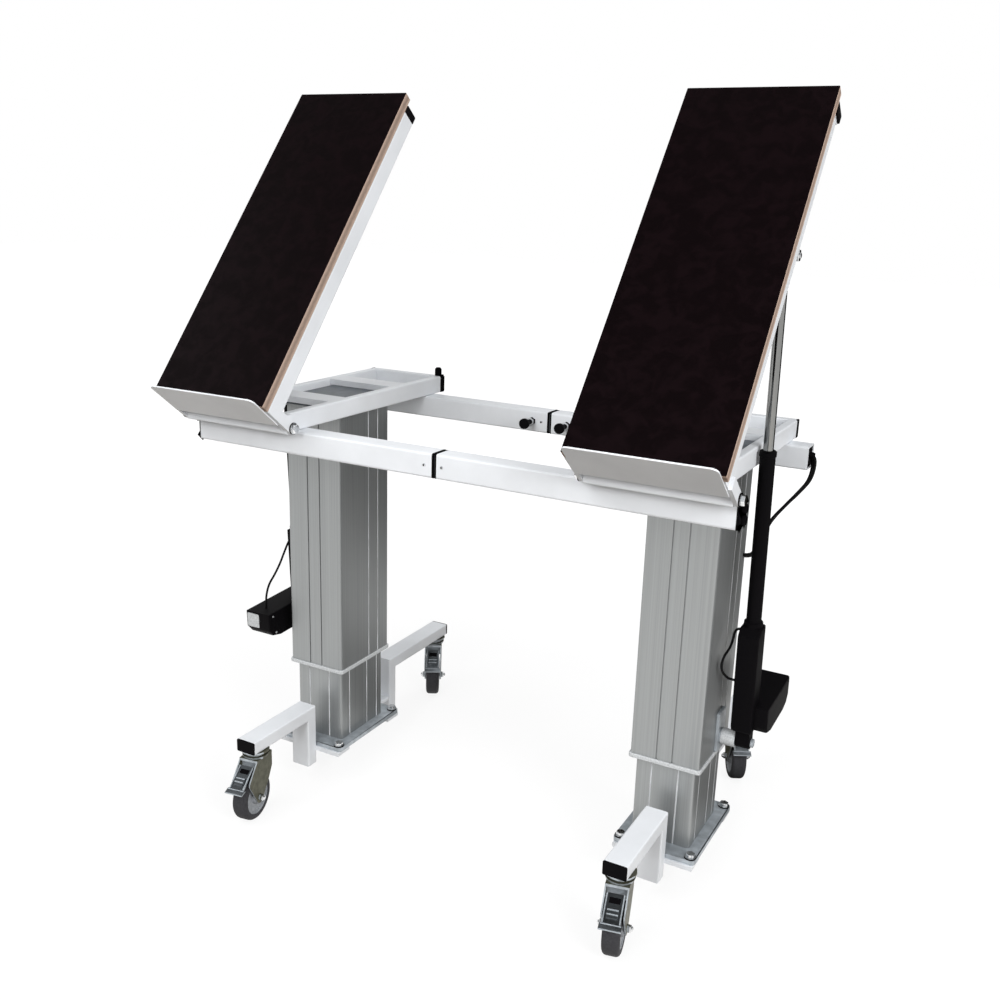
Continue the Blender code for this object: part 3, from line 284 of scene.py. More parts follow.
def film_plywood(film, veneer):
    """Birch plywood with dark phenolic film: smudged satin faces and striped sanded edges."""
    made, tree, shader, place = blank("film_faced_plywood", Specular_IOR_Level=0.05)
    # The boards stand tilted, so the pattern is turned into their plane
    low, high = board_levels()
    flat = node(tree, "ShaderNodeMapping", {
        "Vector": place, "Location": (0.0, HINGE.y, HINGE.z), "Rotation": (TILT, 0.0, 0.0),
    }, vector_type="TEXTURE")
    axes = node(tree, "ShaderNodeSeparateXYZ", {"Vector": flat.outputs["Vector"]})
    middle = node(tree, "ShaderNodeMath", {0: axes.outputs["Z"], 1: (low + high) / 2},
                  operation="SUBTRACT")
    apart = node(tree, "ShaderNodeMath", {0: middle.outputs["Value"]}, operation="ABSOLUTE")
    # The film's own edge is 0.3 mm; drawn at 0.5 mm so that it shows as a fine dark line
    skin = node(tree, "ShaderNodeMath", {0: apart.outputs["Value"], 1: (high - low) / 2 - 0.0005},
                operation="GREATER_THAN")
    # Hand marks and dust of 5 to 30 mm
    smudge = node(tree, "ShaderNodeTexNoise", {
        "Vector": flat.outputs["Vector"], "Scale": 1 / 0.03, "Detail": 6.0, "Roughness": 0.6,
        "Distortion": 0.6,
    })
    marks = node(tree, "ShaderNodeValToRGB", {"Fac": smudge.outputs["Fac"]})
    marks.color_ramp.elements[0].position = 0.44
    marks.color_ramp.elements[0].color = shade(film, 0.62)
    marks.color_ramp.elements[1].position = 0.6
    marks.color_ramp.elements[1].color = shade(film, 1.12)
    # Brown core between two pale outer veneers, then the fine lines of the single plies
    stripe = node(tree, "ShaderNodeMath", {
        0: middle.outputs["Value"], 1: 2 * math.pi / (high - low), 2: -math.pi / 2,
    }, operation="MULTIPLY_ADD")
    wave = node(tree, "ShaderNodeMath", {0: stripe.outputs["Value"]}, operation="SINE")
    grain = node(tree, "ShaderNodeMapping", {
        "Vector": flat.outputs["Vector"], "Scale": (90.0, 90.0, 900.0),
    })
    fibre = node(tree, "ShaderNodeTexNoise", {
        "Vector": grain.outputs["Vector"], "Scale": 1.0, "Detail": 3.0,
    })
    mixed = node(tree, "ShaderNodeMath", {
        0: wave.outputs["Value"], 1: 0.26, 2: fibre.outputs["Fac"],
    }, operation="MULTIPLY_ADD")
    edge = node(tree, "ShaderNodeValToRGB", {"Fac": mixed.outputs["Value"]})
    edge.color_ramp.elements[0].position = 0.25
    edge.color_ramp.elements[0].color = shade(veneer, 0.62)
    edge.color_ramp.elements[1].position = 0.75
    edge.color_ramp.elements[1].color = shade(veneer, 1.15)
    pick = node(tree, "ShaderNodeMix", {
        "Factor": skin.outputs["Value"], 6: edge.outputs["Color"], 7: marks.outputs["Color"],
    }, data_type="RGBA")
    tree.links.new(pick.outputs[2], shader.inputs["Base Color"])
    gloss = node(tree, "ShaderNodeMapRange", {
        "Value": smudge.outputs["Fac"], "From Min": 0.35, "From Max": 0.65,
        "To Min": 0.55, "To Max": 0.36,
    })
    rough = node(tree, "ShaderNodeMix", {
        "Factor": skin.outputs["Value"], 2: 0.8, 3: gloss.outputs["Result"],
    })
    tree.links.new(rough.outputs[0], shader.inputs["Roughness"])
    return made


def board_levels():
    """Heights of a board's two faces above its hinge, along the board's own normal."""
    across = Vector((0.0, -math.sin(TILT), math.cos(TILT)))
    heights = [
        (vertex.co - HINGE).dot(across) for vertex in frame["nodes"]["right_board_panel"].data.vertices
    ]
    return min(heights), max(heights)


def only(obj):
    """Makes this the one selected and active object."""
    bpy.ops.object.select_all(action="DESELECT")
    obj.select_set(True)
    bpy.context.view_layer.objects.active = obj


def edit(obj):
    """Opens one object in edit mode."""
    only(obj)
    bpy.ops.object.mode_set(mode="EDIT")


def done():
    """Goes back to object mode."""
    bpy.ops.object.mode_set(mode="OBJECT")


def choose(kind, test):
    """Selects the faces or edges of the edited mesh whose middle and direction pass a test."""
    bpy.ops.mesh.select_mode(type=kind)
    bpy.ops.mesh.select_all(action="DESELECT")
    data = bpy.context.edit_object.data
    mesh = bmesh.from_edit_mesh(data)
    mesh.normal_update()
    if kind == "FACE":
        for face in mesh.faces:
            face.select_set(bool(test(face.calc_center_median(), face.normal)))
    else:
        for edge in mesh.edges:
            first, second = edge.verts[0].co, edge.verts[1].co
            edge.select_set(bool(test((first + second) / 2, (second - first).normalized())))
    mesh.select_flush_mode()
    bmesh.update_edit_mesh(data)


def push(shift):
    """Extrudes what is selected by a shift."""
    bpy.ops.mesh.extrude_region_move(TRANSFORM_OT_translate={"value": shift})


def settle(obj, place=None):
    """Puts an object's place into its mesh, so that the object itself sits at the origin."""
    only(obj)
    if place is not None:
        obj.matrix_world = place @ obj.matrix_world
    bpy.ops.object.transform_apply(location=True, rotation=True, scale=True)


def box(low, high):
    """A block between two corners, left in object mode."""
    low, high = Vector(low), Vector(high)
    bpy.ops.object.select_all(action="DESELECT")
    bpy.ops.mesh.primitive_cube_add(size=1.0, location=(low + high) / 2)
    made = bpy.context.active_object
    made.scale = high - low
    settle(made)
    return made


def soften(obj, width, segments=2, test=None):
    """Bevels the sharp edges of an object, or those that pass a test."""
    edit(obj)
    if test is None:
        bpy.ops.mesh.select_mode(type="EDGE")
        bpy.ops.mesh.select_all(action="DESELECT")
        bpy.ops.mesh.edges_select_sharp(sharpness=SHARP)
    else:
        choose("EDGE", test)
    bpy.ops.mesh.bevel(offset=width, segments=segments, affect="EDGES", clamp_overlap=True)
    done()


def weld_up(objects):
    """Joins several objects into the first one."""
    bpy.ops.object.select_all(action="DESELECT")
    for obj in objects:
        obj.select_set(True)
    bpy.context.view_layer.objects.active = objects[0]
    bpy.ops.object.join()
    return objects[0]


def turned(profile, sides):
    """A turned piece along z: each (radius, height) step in millimetres grows out of the last."""
    radius, height = profile[0]
    bpy.ops.object.select_all(action="DESELECT")
    bpy.ops.mesh.primitive_circle_add(
        vertices=sides, radius=radius / 1000, fill_type="NGON", location=(0.0, 0.0, height / 1000)
    )
    made = bpy.context.active_object
    settle(made)
    edit(made)
    bpy.ops.mesh.select_all(action="SELECT")
    grow(radius, height, profile[1:])
    bpy.ops.mesh.select_all(action="SELECT")
    bpy.ops.mesh.normals_make_consistent(inside=False)
    done()
    return made


def grow(radius, height, steps):
    """Extrudes what is selected through (radius, height) steps in millimetres round z."""
    for wide, high in steps:
        push((0.0, 0.0, (high - height) / 1000))
        bpy.ops.transform.resize(
            value=(wide / radius, wide / radius, 1.0), center_override=(0.0, 0.0, high / 1000)
        )
        radius, height = wide, high


def ringed(profile, sides):
    """A ring about z, alike on both sides: (radius, half height) steps from the rim to the bore."""
    rim, half = profile[0]
    bore = profile[-1][0]
    bpy.ops.object.select_all(action="DESELECT")
    bpy.ops.mesh.primitive_cylinder_add(
        vertices=sides, radius=rim / 1000, depth=2 * half / 1000, end_fill_type="NOTHING"
    )
    made = bpy.context.active_object
    edit(made)
    for side in (1, -1):
        choose("EDGE", lambda middle, along: middle.z * side > 0.9 * half / 1000 and abs(along.z) < 0.5
               and middle.xy.length > 0.9 * rim / 1000)
        grow(rim, half * side, [(wide, high * side) for wide, high in profile[1:]])
    choose("EDGE", lambda middle, along: middle.xy.length < bore / 1000 * 1.001 and abs(along.z) < 0.5)
    bpy.ops.mesh.bridge_edge_loops()
    bpy.ops.mesh.select_all(action="SELECT")
    bpy.ops.mesh.normals_make_consistent(inside=False)
    done()
    return made


def finish_named(name):
    """A finish that the finishes step has made."""
    return bpy.data.materials[name]


def coat(obj, finish, test):
    """Adds a finish to an object and gives it to the faces that pass a test."""
    obj.data.materials.append(finish_named(finish))
    edit(obj)
    choose("FACE", test)
    obj.active_material_index = len(obj.data.materials) - 1
    bpy.ops.object.material_slot_assign()
    done()


def hand_in(obj, name, materials, body, nodes=()):
    """Names a finished piece, gives it its finish and lets it ride on its body."""
    only(obj)
    bpy.ops.object.shade_smooth_by_angle(angle=SMOOTH)
    # Broad flat faces keep their own normal beside a rounded edge
    bpy.ops.object.modifier_add(type="WEIGHTED_NORMAL")
    obj.modifiers[-1].keep_sharp = True
    bpy.ops.object.modifier_apply(modifier=obj.modifiers[-1].name)
    obj.name = name
    obj.data.name = name
    if materials:
        obj.data.materials.clear()
        for material in materials:
            obj.data.materials.append(material)
    if nodes:
        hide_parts(*nodes)
    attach(obj, body)
    return obj


def dress(name, rounding, finish=None):
    """Puts a rounded copy in a model piece's place, in its own finish or another one."""
    slot = SLOT_OF[name]
    made = bpy.data.objects.new(f"{name}_dressed", frame["nodes"][name].data.copy())
    bpy.context.collection.objects.link(made)
    edit(made)
    bpy.ops.mesh.select_all(action="SELECT")
    bpy.ops.mesh.remove_doubles(threshold=0.00002)
    bpy.ops.mesh.dissolve_limited(angle_limit=math.radians(1.0))
    done()
    soften(made, rounding)
    return hand_in(
        made, f"{name}_dressed", [finish_named(finish or FINISH_OF[slot])], BODY_OF[name], [name]
    )


def copy_to(template, place):
    """A copy of a template with its own mesh, at another place."""
    only(template)
    bpy.ops.object.duplicate(linked=False)
    made = bpy.context.active_object
    settle(made, place)
    return made


def drop(*templates):
    """Deletes templates once their copies are made."""
    for template in templates:
        only(template)
        bpy.ops.object.delete()


def at(spot, angle, axis="Y"):
    """A place turned by an angle about one axis."""
    return Matrix.Translation(spot) @ Matrix.Rotation(angle, 4, axis)


def castor_place(name):
    """Where a castor's axle is, with its own x along the axle."""
    axle = JOINTS[f"{name}_roll"]
    return at(axle["pos_m"], math.atan2(axle["axis"][1], axle["axis"][0]), "Z")


def actuator_place(unit):
    """Where an actuator's lower pivot is, with its own z along the rod."""
    place = at(JOINTS[f"{unit}_actuator_pivot"]["pos_m"], LEAN, "X")
    return place if unit == "right" else place @ Matrix.Rotation(math.pi, 4, "Z")


def beam_block(middle, start, end):
    """A block across a beam between two places along it, with the tube's rounded corners."""
    across = Vector((0.0, BEAM_HALF, BEAM_HALF))
    made = box(
        middle - across + Vector((min(start, end), 0, 0)),
        middle + across + Vector((max(start, end), 0, 0)),
    )
    soften(made, 0.004, 3, lambda place, along: abs(along.x) > 0.99)
    return made


def groove_test(name, ends):
    """A test for the faces in a column profile's grooves, on its sides and perhaps its ends."""
    low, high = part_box(name)

    def in_groove(middle, normal):
        from_side = min(middle.x - low.x, high.x - middle.x)
        from_end = min(middle.y - low.y, high.y - middle.y)
        at_side = from_side < GROOVE_DEPTH and from_end > CORNER
        at_end = from_end < GROOVE_DEPTH and from_side > CORNER
        return min(from_side, from_end) > GROOVE_LIP and (at_side or at_end and ends)

    return in_groove


def smooth_route(points, step):
    """Points at even steps on a smooth curve through a cable's route."""
    route = [Vector(point) for point in points]
    route = [2 * route[0] - route[1], *route, 2 * route[-1] - route[-2]]
    samples = []
    for before, start, end, after in zip(route, route[1:], route[2:], route[3:]):
        count = max(1, round((end - start).length / step))
        for number in range(count):
            t = number / count
            samples.append(0.5 * (
                2 * start + (end - before) * t
                + (2 * before - 5 * start + 4 * end - after) * t ** 2
                + (3 * start - before - 3 * end + after) * t ** 3
            ))
    return [*samples, route[-2]]


def lay_cable(name, points, diameter, body, nodes):
    """A cable along a route given in metres."""
    samples = smooth_route(points, 0.9 * diameter)
    curve = bpy.data.curves.new(name, "CURVE")
    curve.dimensions = "3D"
    curve.bevel_depth = diameter / 2
    curve.bevel_resolution = 5
    curve.use_fill_caps = True
    spline = curve.splines.new("POLY")
    spline.points.add(len(samples) - 1)
    for point, sample in zip(spline.points, samples):
        point.co = (*sample, 1.0)
    spline.use_smooth = True
    made = bpy.data.objects.new(name, curve)
    bpy.context.collection.objects.link(made)
    curve.materials.append(finish_named("black_pvc_sheath"))
    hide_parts(*nodes)
    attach(made, body)


def light_world(scene):
    """A white studio: dim on matt surfaces, plain white to the camera and in reflections."""
    world = bpy.data.worlds.new("pale_studio")
    scene.world = world
    world.use_nodes = True
    tree = world.node_tree
    path = node(tree, "ShaderNodeLightPath")
    seen = node(tree, "ShaderNodeMath", {
        0: path.outputs["Is Camera Ray"], 1: path.outputs["Is Glossy Ray"],
    }, operation="MAXIMUM")
    seen = node(tree, "ShaderNodeMath", {
        0: seen.outputs["Value"], 1: path.outputs["Is Transmission Ray"],
    }, operation="MAXIMUM")
    level = node(tree, "ShaderNodeMapRange", {
        "Value": seen.outputs["Value"], "To Min": 0.44, "To Max": 1.0,
    })
    tree.links.new(level.outputs["Result"], tree.nodes["Background"].inputs["Strength"])
    tree.nodes["Background"].inputs["Color"].default_value = (1.0, 1.0, 1.0, 1.0)


def white_paper():
    """Matt studio paper that keeps the table's shadow and is white in reflections."""
    made = bpy.data.materials.new("pale_paper")
    made.use_nodes = True
    tree = made.node_tree
    tree.nodes.clear()
    path = node(tree, "ShaderNodeLightPath")
    # What the floor throws back at the table is a little warm; the camera sees it neutral
    warmth = node(tree, "ShaderNodeMix", {
        "Factor": path.outputs["Is Camera Ray"], 6: linear("#6C655C"), 7: linear("#6E6E6E"),
    }, data_type="RGBA")
    matt = node(tree, "ShaderNodeBsdfDiffuse", {"Color": warmth.outputs[2]})
    shine = node(tree, "ShaderNodeMath", {
        0: path.outputs["Is Glossy Ray"], 1: 1.1,
    }, operation="MULTIPLY")
    # Paler away from the table, where the lamps no longer reach, so that no horizon shows
    spot = node(tree, "ShaderNodeTexCoord")
    away = node(tree, "ShaderNodeVectorMath", {0: spot.outputs["Object"]}, operation="LENGTH")
    pale = node(tree, "ShaderNodeMapRange", {
        "Value": away.outputs["Value"], "From Min": 0.9, "From Max": 3.5,
        "To Min": 0.85, "To Max": 1.0,
    })
    lift = node(tree, "ShaderNodeMath", {
        0: path.outputs["Is Camera Ray"], 1: pale.outputs["Result"], 2: shine.outputs["Value"],
    }, operation="MULTIPLY_ADD")
    glow = node(tree, "ShaderNodeEmission", {"Strength": lift.outputs["Value"]})
    both = node(tree, "ShaderNodeAddShader", {
        0: matt.outputs["BSDF"], 1: glow.outputs["Emission"],
    })
    node(tree, "ShaderNodeOutputMaterial", {"Surface": both.outputs["Shader"]})
    return made


def lay_floor():
    """A wide floor just under the wheels; its paper is measured in the floor's own metres."""
    bpy.ops.object.select_all(action="DESELECT")
    bpy.ops.mesh.primitive_plane_add(size=40.0, location=(0.0, 0.0, -0.001))
    floor = bpy.context.active_object
    floor.name = "studio_floor"
    floor.data.materials.append(white_paper())


def hang_cards():
    """Dark cards that only reflections see: behind the table, above it and on the floor."""
    dark = bpy.data.materials.new("dark_card")
    dark.use_nodes = True
    shader = dark.node_tree.nodes["Principled BSDF"]
    shader.inputs["Base Color"].default_value = linear("#1C1A18")
    shader.inputs["Specular IOR Level"].default_value = 0.0
    for name, place, turn, size in (
        ("back_card", (1.3, 1.2, 0.9), (QUARTER, 0.0, 0.0), (3.4, 1.8)),
        ("ceiling_card", (-0.4, -1.2, 3.1), (0.0, 0.0, 0.0), (4.4, 3.4)),
        ("floor_card", (0.65, 0.37, 0.004), (0.0, 0.0, 0.0), (2.0, 0.5)),
    ):
        bpy.ops.object.select_all(action="DESELECT")
        bpy.ops.mesh.primitive_plane_add(size=1.0, location=place, rotation=turn)
        card = bpy.context.active_object
        card.name = name
        card.scale = (*size, 1.0)
        card.data.materials.append(dark)
        for ray in ("camera", "diffuse", "transmission", "shadow", "volume_scatter"):
            setattr(card, f"visible_{ray}", False)


def hang_lamps(scene):
    """Four soft round lamps that face the table's middle; sizes in metres, power in watts."""
    middle = Vector((0.0, 0.0, 0.7))
    for name, place, size, power in (
        ("key_softbox", (-1.8, -3.2, 4.4), 2.6, 84.0),
        ("fill_softbox", (3.4, -2.0, 2.4), 2.4, 140.0),
        ("back_softbox", (0.2, 4.2, 2.0), 2.6, 66.0),
        ("front_softbox", (0.3, -4.4, 2.7), 1.8, 80.0),
    ):
        lamp = bpy.data.lights.new(name, "AREA")
        lamp.shape = "DISK"
        lamp.size = size
        lamp.energy = power
        light = bpy.data.objects.new(name, lamp)
        light.location = place
        light.rotation_euler = (middle - Vector(place)).to_track_quat("-Z", "Y").to_euler()
        light.visible_glossy = False
        scene.collection.objects.link(light)


def set_camera(scene):
    """The camera that was worked out from the straight edges in the photograph."""
    lens = bpy.data.cameras.new("photo_camera")
    lens.sensor_width = 36.0
    lens.lens = 39.04
    lens.clip_end = 100.0
    camera = bpy.data.objects.new("photo_camera", lens)
    yaw, pitch, roll = math.radians(28.065), math.radians(-15.77), math.radians(1.834)
    ahead = Vector((
        -math.sin(yaw) * math.cos(pitch), math.cos(yaw) * math.cos(pitch), math.sin(pitch)
    ))
    level = Vector((math.cos(yaw), math.sin(yaw), 0.0))
    rise = level.cross(ahead)
    right = math.cos(roll) * level + math.sin(roll) * rise
    up = -math.sin(roll) * level + math.cos(roll) * rise
    turn = Matrix((right, up, -ahead)).transposed().to_4x4()
    camera.matrix_world = Matrix.Translation((1.0736, COLUMN_Y - 2.028, 1.3975)) @ turn
    scene.collection.objects.link(camera)
    scene.camera = camera


class TABLE_OT_stage(bpy.types.Operator):
    """Floor, soft light and the camera at the photograph's view"""

    bl_idname = "table.stage"
    bl_label = "Stage"

    def execute(self, context):
        scene = context.scene
        scene.view_settings.view_transform = "Standard"
        light_world(scene)
        lay_floor()
        hang_cards()
        hang_lamps(scene)
        set_camera(scene)
        return {"FINISHED"}


class TABLE_OT_finishes(bpy.types.Operator):
    """Makes the finishes and puts them on the model's own pieces"""

    bl_idname = "table.finishes"
    bl_label = "Finishes"

    def execute(self, context):
        tints = context.scene.table_finishes
        made = {
            "white_coat": powder_coat(tints.coat),
            "anodised": anodised(tints.anodised),
            "zinc": plated("zinc_plated_steel", tints.zinc, 0.34, 0.012),
            # The bars in the beam joints are the zinc painted darker, as painted shade in the gap where they sit
            "bar_zinc": plated("zinc_bar_painted_shade", shade(tints.zinc, 0.5), 0.4, 0.03),
            "grey_plate": moulded("grey_painted_plate", tints.plate, 0.5, 0.02, 0.5),
            "pale_plastic": moulded("pale_glide_plastic", tints.pale, 0.45, 0.003, 0.5),
            "black_plastic": moulded("moulded_black_nylon", tints.black, 0.58, 0.0025, 0.04),
            "black_rubber": moulded("soft_black_rubber", tints.rubber, 0.7, 0.003, 0.03),
            "tyre_grey": moulded("grey_rubber_tread", tints.tread, 0.75, 0.004, 0.3),
            "chromed": chromed(tints.chrome),
            "plywood": film_plywood(tints.film, tints.veneer),
        }
        plated("bright_plated_bolt", tints.bolt, 0.2, 0.008)
        plated("zinc_plated_fork", tints.fork, 0.5, 0.01, 0.6)
        # A lighter, less metallic copy of the zinc that is painted light: on fork fronts, pedal rims and bars,
        # actuator brackets and column base plates it stands in for the light and reflections they catch
        plated("zinc_painted_light", shade(tints.zinc, 1.7), 0.45, 0.02, 0.45)
        # Painted highlight for the column grooves: a pale finish, hardly drawn as a mirror, that makes each groove
        # show as a bright line
        plated("groove_painted_highlight", shade(tints.bolt, 1.15), 0.5, 0.05, 0.15)
        moulded("grey_plastic_hub", tints.hub, 0.5, 0.006, 0.5)
        moulded("black_pvc_sheath", tints.rubber, 0.5, 0.004, 0.12)
        for part in frame["record"]["subparts"]:
            slots = frame["nodes"][part["node"]].material_slots
            for slot in slots:
                slot.material = made[part["material_slot"]]
        return {"FINISHED"}


class TABLE_OT_cables(bpy.types.Operator):
    """The four leads that the table shows, on the routes of the model"""

    bl_idname = "table.cables"
    bl_label = "Cables"

    def execute(self, context):
        sizes = context.scene.table_sizes
        beam_end = (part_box("right_rear_beam")[1].x - COLUMN_X) * 1000
        entry = (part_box("right_column_outer")[1].x - COLUMN_X) * 1000 + 0.3
        # Millimetres: x and y from the right column's middle, z from the floor
        upper = [
            (beam_end - 16, 238, 891), (beam_end + 6, 239, 888), (beam_end + 12, 236, 870),
            (beam_end + 8, 224, 840), (beam_end - 3, 178, 820), (beam_end - 20, 158, 798),
            (110, 143, 762), (99, 110, 725), (94.4, 90, 707), (89, 83, 701), (entry + 3, 80, 699),
            (entry, 80, 699),
        ]
        lower = [(x - 0.07 * (x - entry), y + 9, z - 5) for x, y, z in upper]
        for name, route in (("upper", upper), ("lower", lower)):
            points = [(COLUMN_X + x / 1000, COLUMN_Y + y / 1000, z / 1000) for x, y, z in route]
            lay_cable(
                f"beam_cable_{name}", points, sizes.beam_cable, "right_top",
                [f"right_beam_cable_{name}"],
            )
        # Millimetres in the actuator's own axes; the face is the side of its gear block
        face = -22.3
        loop = [
            (face, -24, 147), (face - 2, -24, 147), (-31.9, -26.1, 148.7), (-36.1, -31.4, 153.2),
            (-42, -46, 170), (-44, -50, 187), (-43, -40, 202), (-39, -19, 213), (-37.5, -7, 225),
            (-36.1, -0.6, 240.5), (-32.1, 2, 247.3), (face - 2, 3, 250), (face, 3, 250),
        ]
        lead = [
            (15, 117, 94.3), (15, 117, 99), (13, 116, 126), (10, 107, 152), (5, 90, 174),
            (0, 75, 197), (-5, 63, 222), (-6, 48, 242), (-2, 30, 251), (0, 21.3, 252),
            (0, 16.3, 252),
        ]
        for unit, route in (("right", loop), ("left", lead)):
            place = actuator_place(unit)
            points = [place @ (Vector(point) / 1000) for point in route]
            lay_cable(
                f"motor_lead_{unit}", points, sizes.motor_cable, f"{unit}_actuator",
                [f"{unit}_motor_cable"],
            )
        return {"FINISHED"}


class TABLE_OT_castors(bpy.types.Operator):
    """Wheels with ribbed hubs, axle nuts, and the rounded forks and brake pedals"""

    bl_idname = "table.castors"
    bl_label = "Castors"

    def execute(self, context):
        wheel = ringed([
            (55.0, 9.0), (54.3, 12.6), (52.2, 15.6), (48.6, 17.4), (44.6, 18.0), (41.6, 17.5),
            (40.6, 16.2), (40.2, 15.4), (38.8, 16.6), (36.6, 16.6), (35.4, 14.2), (18.0, 13.4),
            (16.4, 18.4), (15.0, 19.6), (5.4, 19.6),
        ], 60)
        wheel.data.materials.append(finish_named("grey_rubber_tread"))
        coat(wheel, "grey_plastic_hub", lambda middle, normal: middle.xy.length < HUB_RADIUS)
        nut = weld_up([
            turned([(6.6, 0.0), (7.4, 0.6), (7.4, 3.2), (6.6, 3.8)], 6),
            turned([(5.4, 3.4), (5.4, 5.2), (4.8, 6.6), (3.4, 7.6), (1.3, 8.2)], 24),
        ])
        # Pressed rims and footplate bars of a brake pedal, and a thin black sheet of painted shade in its slot:
        # corners in mm, in its own slope
        trim = []
        for low, high in (
            ((15.4, -4.0, 5.8), (17.8, 51.0, 8.2)), ((-17.8, -4.0, 5.8), (-15.4, 51.0, 8.2)),
            ((-11.0, 25.5, 8.8), (11.0, 28.3, 10.6)), ((-11.0, 34.0, 8.8), (11.0, 36.8, 10.6)),
            ((-21.6, 64.2, 8.8), (21.6, 66.4, 11.4)), ((-20.0, 52.4, 5.8), (20.0, 54.8, 7.8)),
            ((-11.0, 3.0, 5.8), (11.0, 14.0, 6.6)),
        ):
            made = box(Vector(low) / 1000, Vector(high) / 1000)
            soften(made, 0.0003)
            trim.append(made)
        trim = weld_up(trim)
        # The rims and bars are in the lighter zinc, as painted highlights on their pressed edges
        trim.data.materials.append(finish_named("zinc_painted_light"))
        # The slot is the block near the pedal's pivot: a thin sheet painted black, as painted shade where the
        # slot's hollow is
        coat(
            trim, "moulded_black_nylon",
            lambda middle, normal: abs(middle.x) < 0.0115 and middle.y < 0.016,
        )
        slope = Matrix.Rotation(PEDAL_SLOPE, 4, "X") @ Matrix.Rotation(math.pi, 4, "Z")
        for name in CASTORS:
            place = castor_place(name)
            made = copy_to(wheel, place @ Matrix.Rotation(QUARTER, 4, "Y"))
            hand_in(made, f"{name}_tyre", None, f"{name}_wheel_body", [f"{name}_wheel"])
            for end, side in (("a", 1), ("b", -1)):
                spot = place @ Matrix.Rotation(side * QUARTER, 4, "Y")
                spot @= Matrix.Translation((0, 0, AXLE_NUT_OUT))
                hand_in(
                    copy_to(nut, spot), f"{name}_axle_nut_{end}", [finish_named("bright_plated_bolt")],
                    f"{name}_fork_body",
                )
            fork = dress(f"{name}_fork", 0.0006, "zinc_plated_fork")
            ahead = place.to_3x3() @ Vector((0.0, -1.0, 0.0))
            # Faces towards the front get the lighter zinc: painted light where the fork's front is lit
            coat(fork, "zinc_painted_light", lambda middle, normal: normal.dot(ahead) > 0.4)
            dress(f"{name}_brake_pedal", 0.0005)
            pivot = Matrix.Translation(JOINTS[f"{name}_brake"]["pos_m"]) @ place.to_3x3().to_4x4()
            hand_in(
                copy_to(trim, pivot @ slope), f"{name}_pedal_trim", None,
                BODY_OF[f"{name}_brake_pedal"],
            )
        drop(wheel, nut, trim)
        return {"FINISHED"}


class TABLE_OT_beam_ends(bpy.types.Operator):
    """Joint rims, end plugs, sockets, cable ferrules and screws of the beams"""

    bl_idname = "table.beam_ends"
    bl_label = "Beam ends"

    def execute(self, context):
        sizes = context.scene.table_sizes
        black = [finish_named("moulded_black_nylon")]
        for unit, side in UNITS:
            for end in ("front", "rear"):
                low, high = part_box(f"{unit}_{end}_beam")
                inner, outer = (low.x, high.x) if side > 0 else (high.x, low.x)
                middle = Vector((0.0, high.y - BEAM_HALF, (low.z + high.z) / 2))
                rim = beam_block(middle, inner, inner - side * sizes.rim)
                edit(rim)
                choose("FACE", lambda place, normal: abs(normal.x) > 0.9)
                bpy.ops.mesh.inset(thickness=0.003)
                bpy.ops.mesh.bridge_edge_loops()
                done()
                hand_in(rim, f"{unit}_{end}_joint_rim", black, f"{unit}_top")
                if (unit, end) == ("right", "rear"):
                    continue
                plug = beam_block(middle, outer, outer + side * sizes.plug)
                edit(plug)
                choose("FACE", lambda place, normal: normal.x * side > 0.9)
                bpy.ops.mesh.inset(thickness=0.004)
                push((side * 0.0012, 0.0, 0.0))
                bpy.ops.mesh.inset(thickness=0.003)
                done()
                hand_in(plug, f"{unit}_{end}_beam_plug", black, f"{unit}_top")
        screw = turned([(3.4, 0.0), (3.4, 0.8), (2.9, 1.6), (2.0, 1.8), (1.9, 0.6)], 24)
        # The recess in the screw's head is painted black, as painted shade in the hollow
        screw.data.materials.append(finish_named("bright_plated_bolt"))
        coat(screw, "moulded_black_nylon", lambda middle, normal: middle.xy.length < 0.0019)
        for name, unit, beam, x in (
            ("left_beam_screw", "left", "left_front_beam", -0.0227),
            ("right_beam_screw", "right", "right_front_beam", 0.0173),
            ("left_rear_beam_screw", "left", "left_rear_beam", -0.0205),
        ):
            low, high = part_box(beam)
            place = at((x, high.y - 2 * BEAM_HALF, (low.z + high.z) / 2), QUARTER, "X")
            hand_in(copy_to(screw, place), name, None, f"{unit}_top")

        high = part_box("right_front_beam")[1]
        socket = turned([(8.6, 0.0), (8.6, 6.6), (7.6, 8.0), (5.4, 8.0), (5.2, 3.0)], 28)
        for number, z in ((1, 0.895), (2, 0.874)):
            made = copy_to(socket, at((high.x + sizes.plug, high.y - BEAM_HALF, z), QUARTER))
            hand_in(made, f"beam_socket_{number}", black, "right_top")
        low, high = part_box("right_rear_beam")
        # A panel nearly flush with the beam's end, inside its tube
        middle = Vector((high.x - 0.0035, high.y - BEAM_HALF, (low.z + high.z) / 2))
        reach = Vector((0.0015, 0.0215, 0.0215))
        panel = box(middle - reach, middle + reach)
        edit(panel)
        choose("FACE", lambda place, normal: normal.x > 0.9)
        bpy.ops.mesh.inset(thickness=0.003)
        push((-0.001, 0.0, 0.0))
        done()
        hand_in(panel, "beam_socket_panel", black, "right_top")
        ferrule = ringed([(5.8, 3.0), (5.2, 6.4), (4.6, 7.0), (3.65, 7.0)], 28)
        for name in ("upper", "lower"):
            route = bpy.data.objects[f"beam_cable_{name}"].data.splines[0].points
            start, ahead = Vector(route[0].co[:3]), Vector(route[2].co[:3])
            along = (ahead - start).normalized()
            place = Matrix.Translation(start + along * FERRULE_ALONG)
            place @= along.to_track_quat("Z", "Y").to_matrix().to_4x4()
            made = copy_to(ferrule, place)
            hand_in(made, f"cable_ferrule_{name}", black, "right_top")
        drop(screw, socket, ferrule)
        return {"FINISHED"}


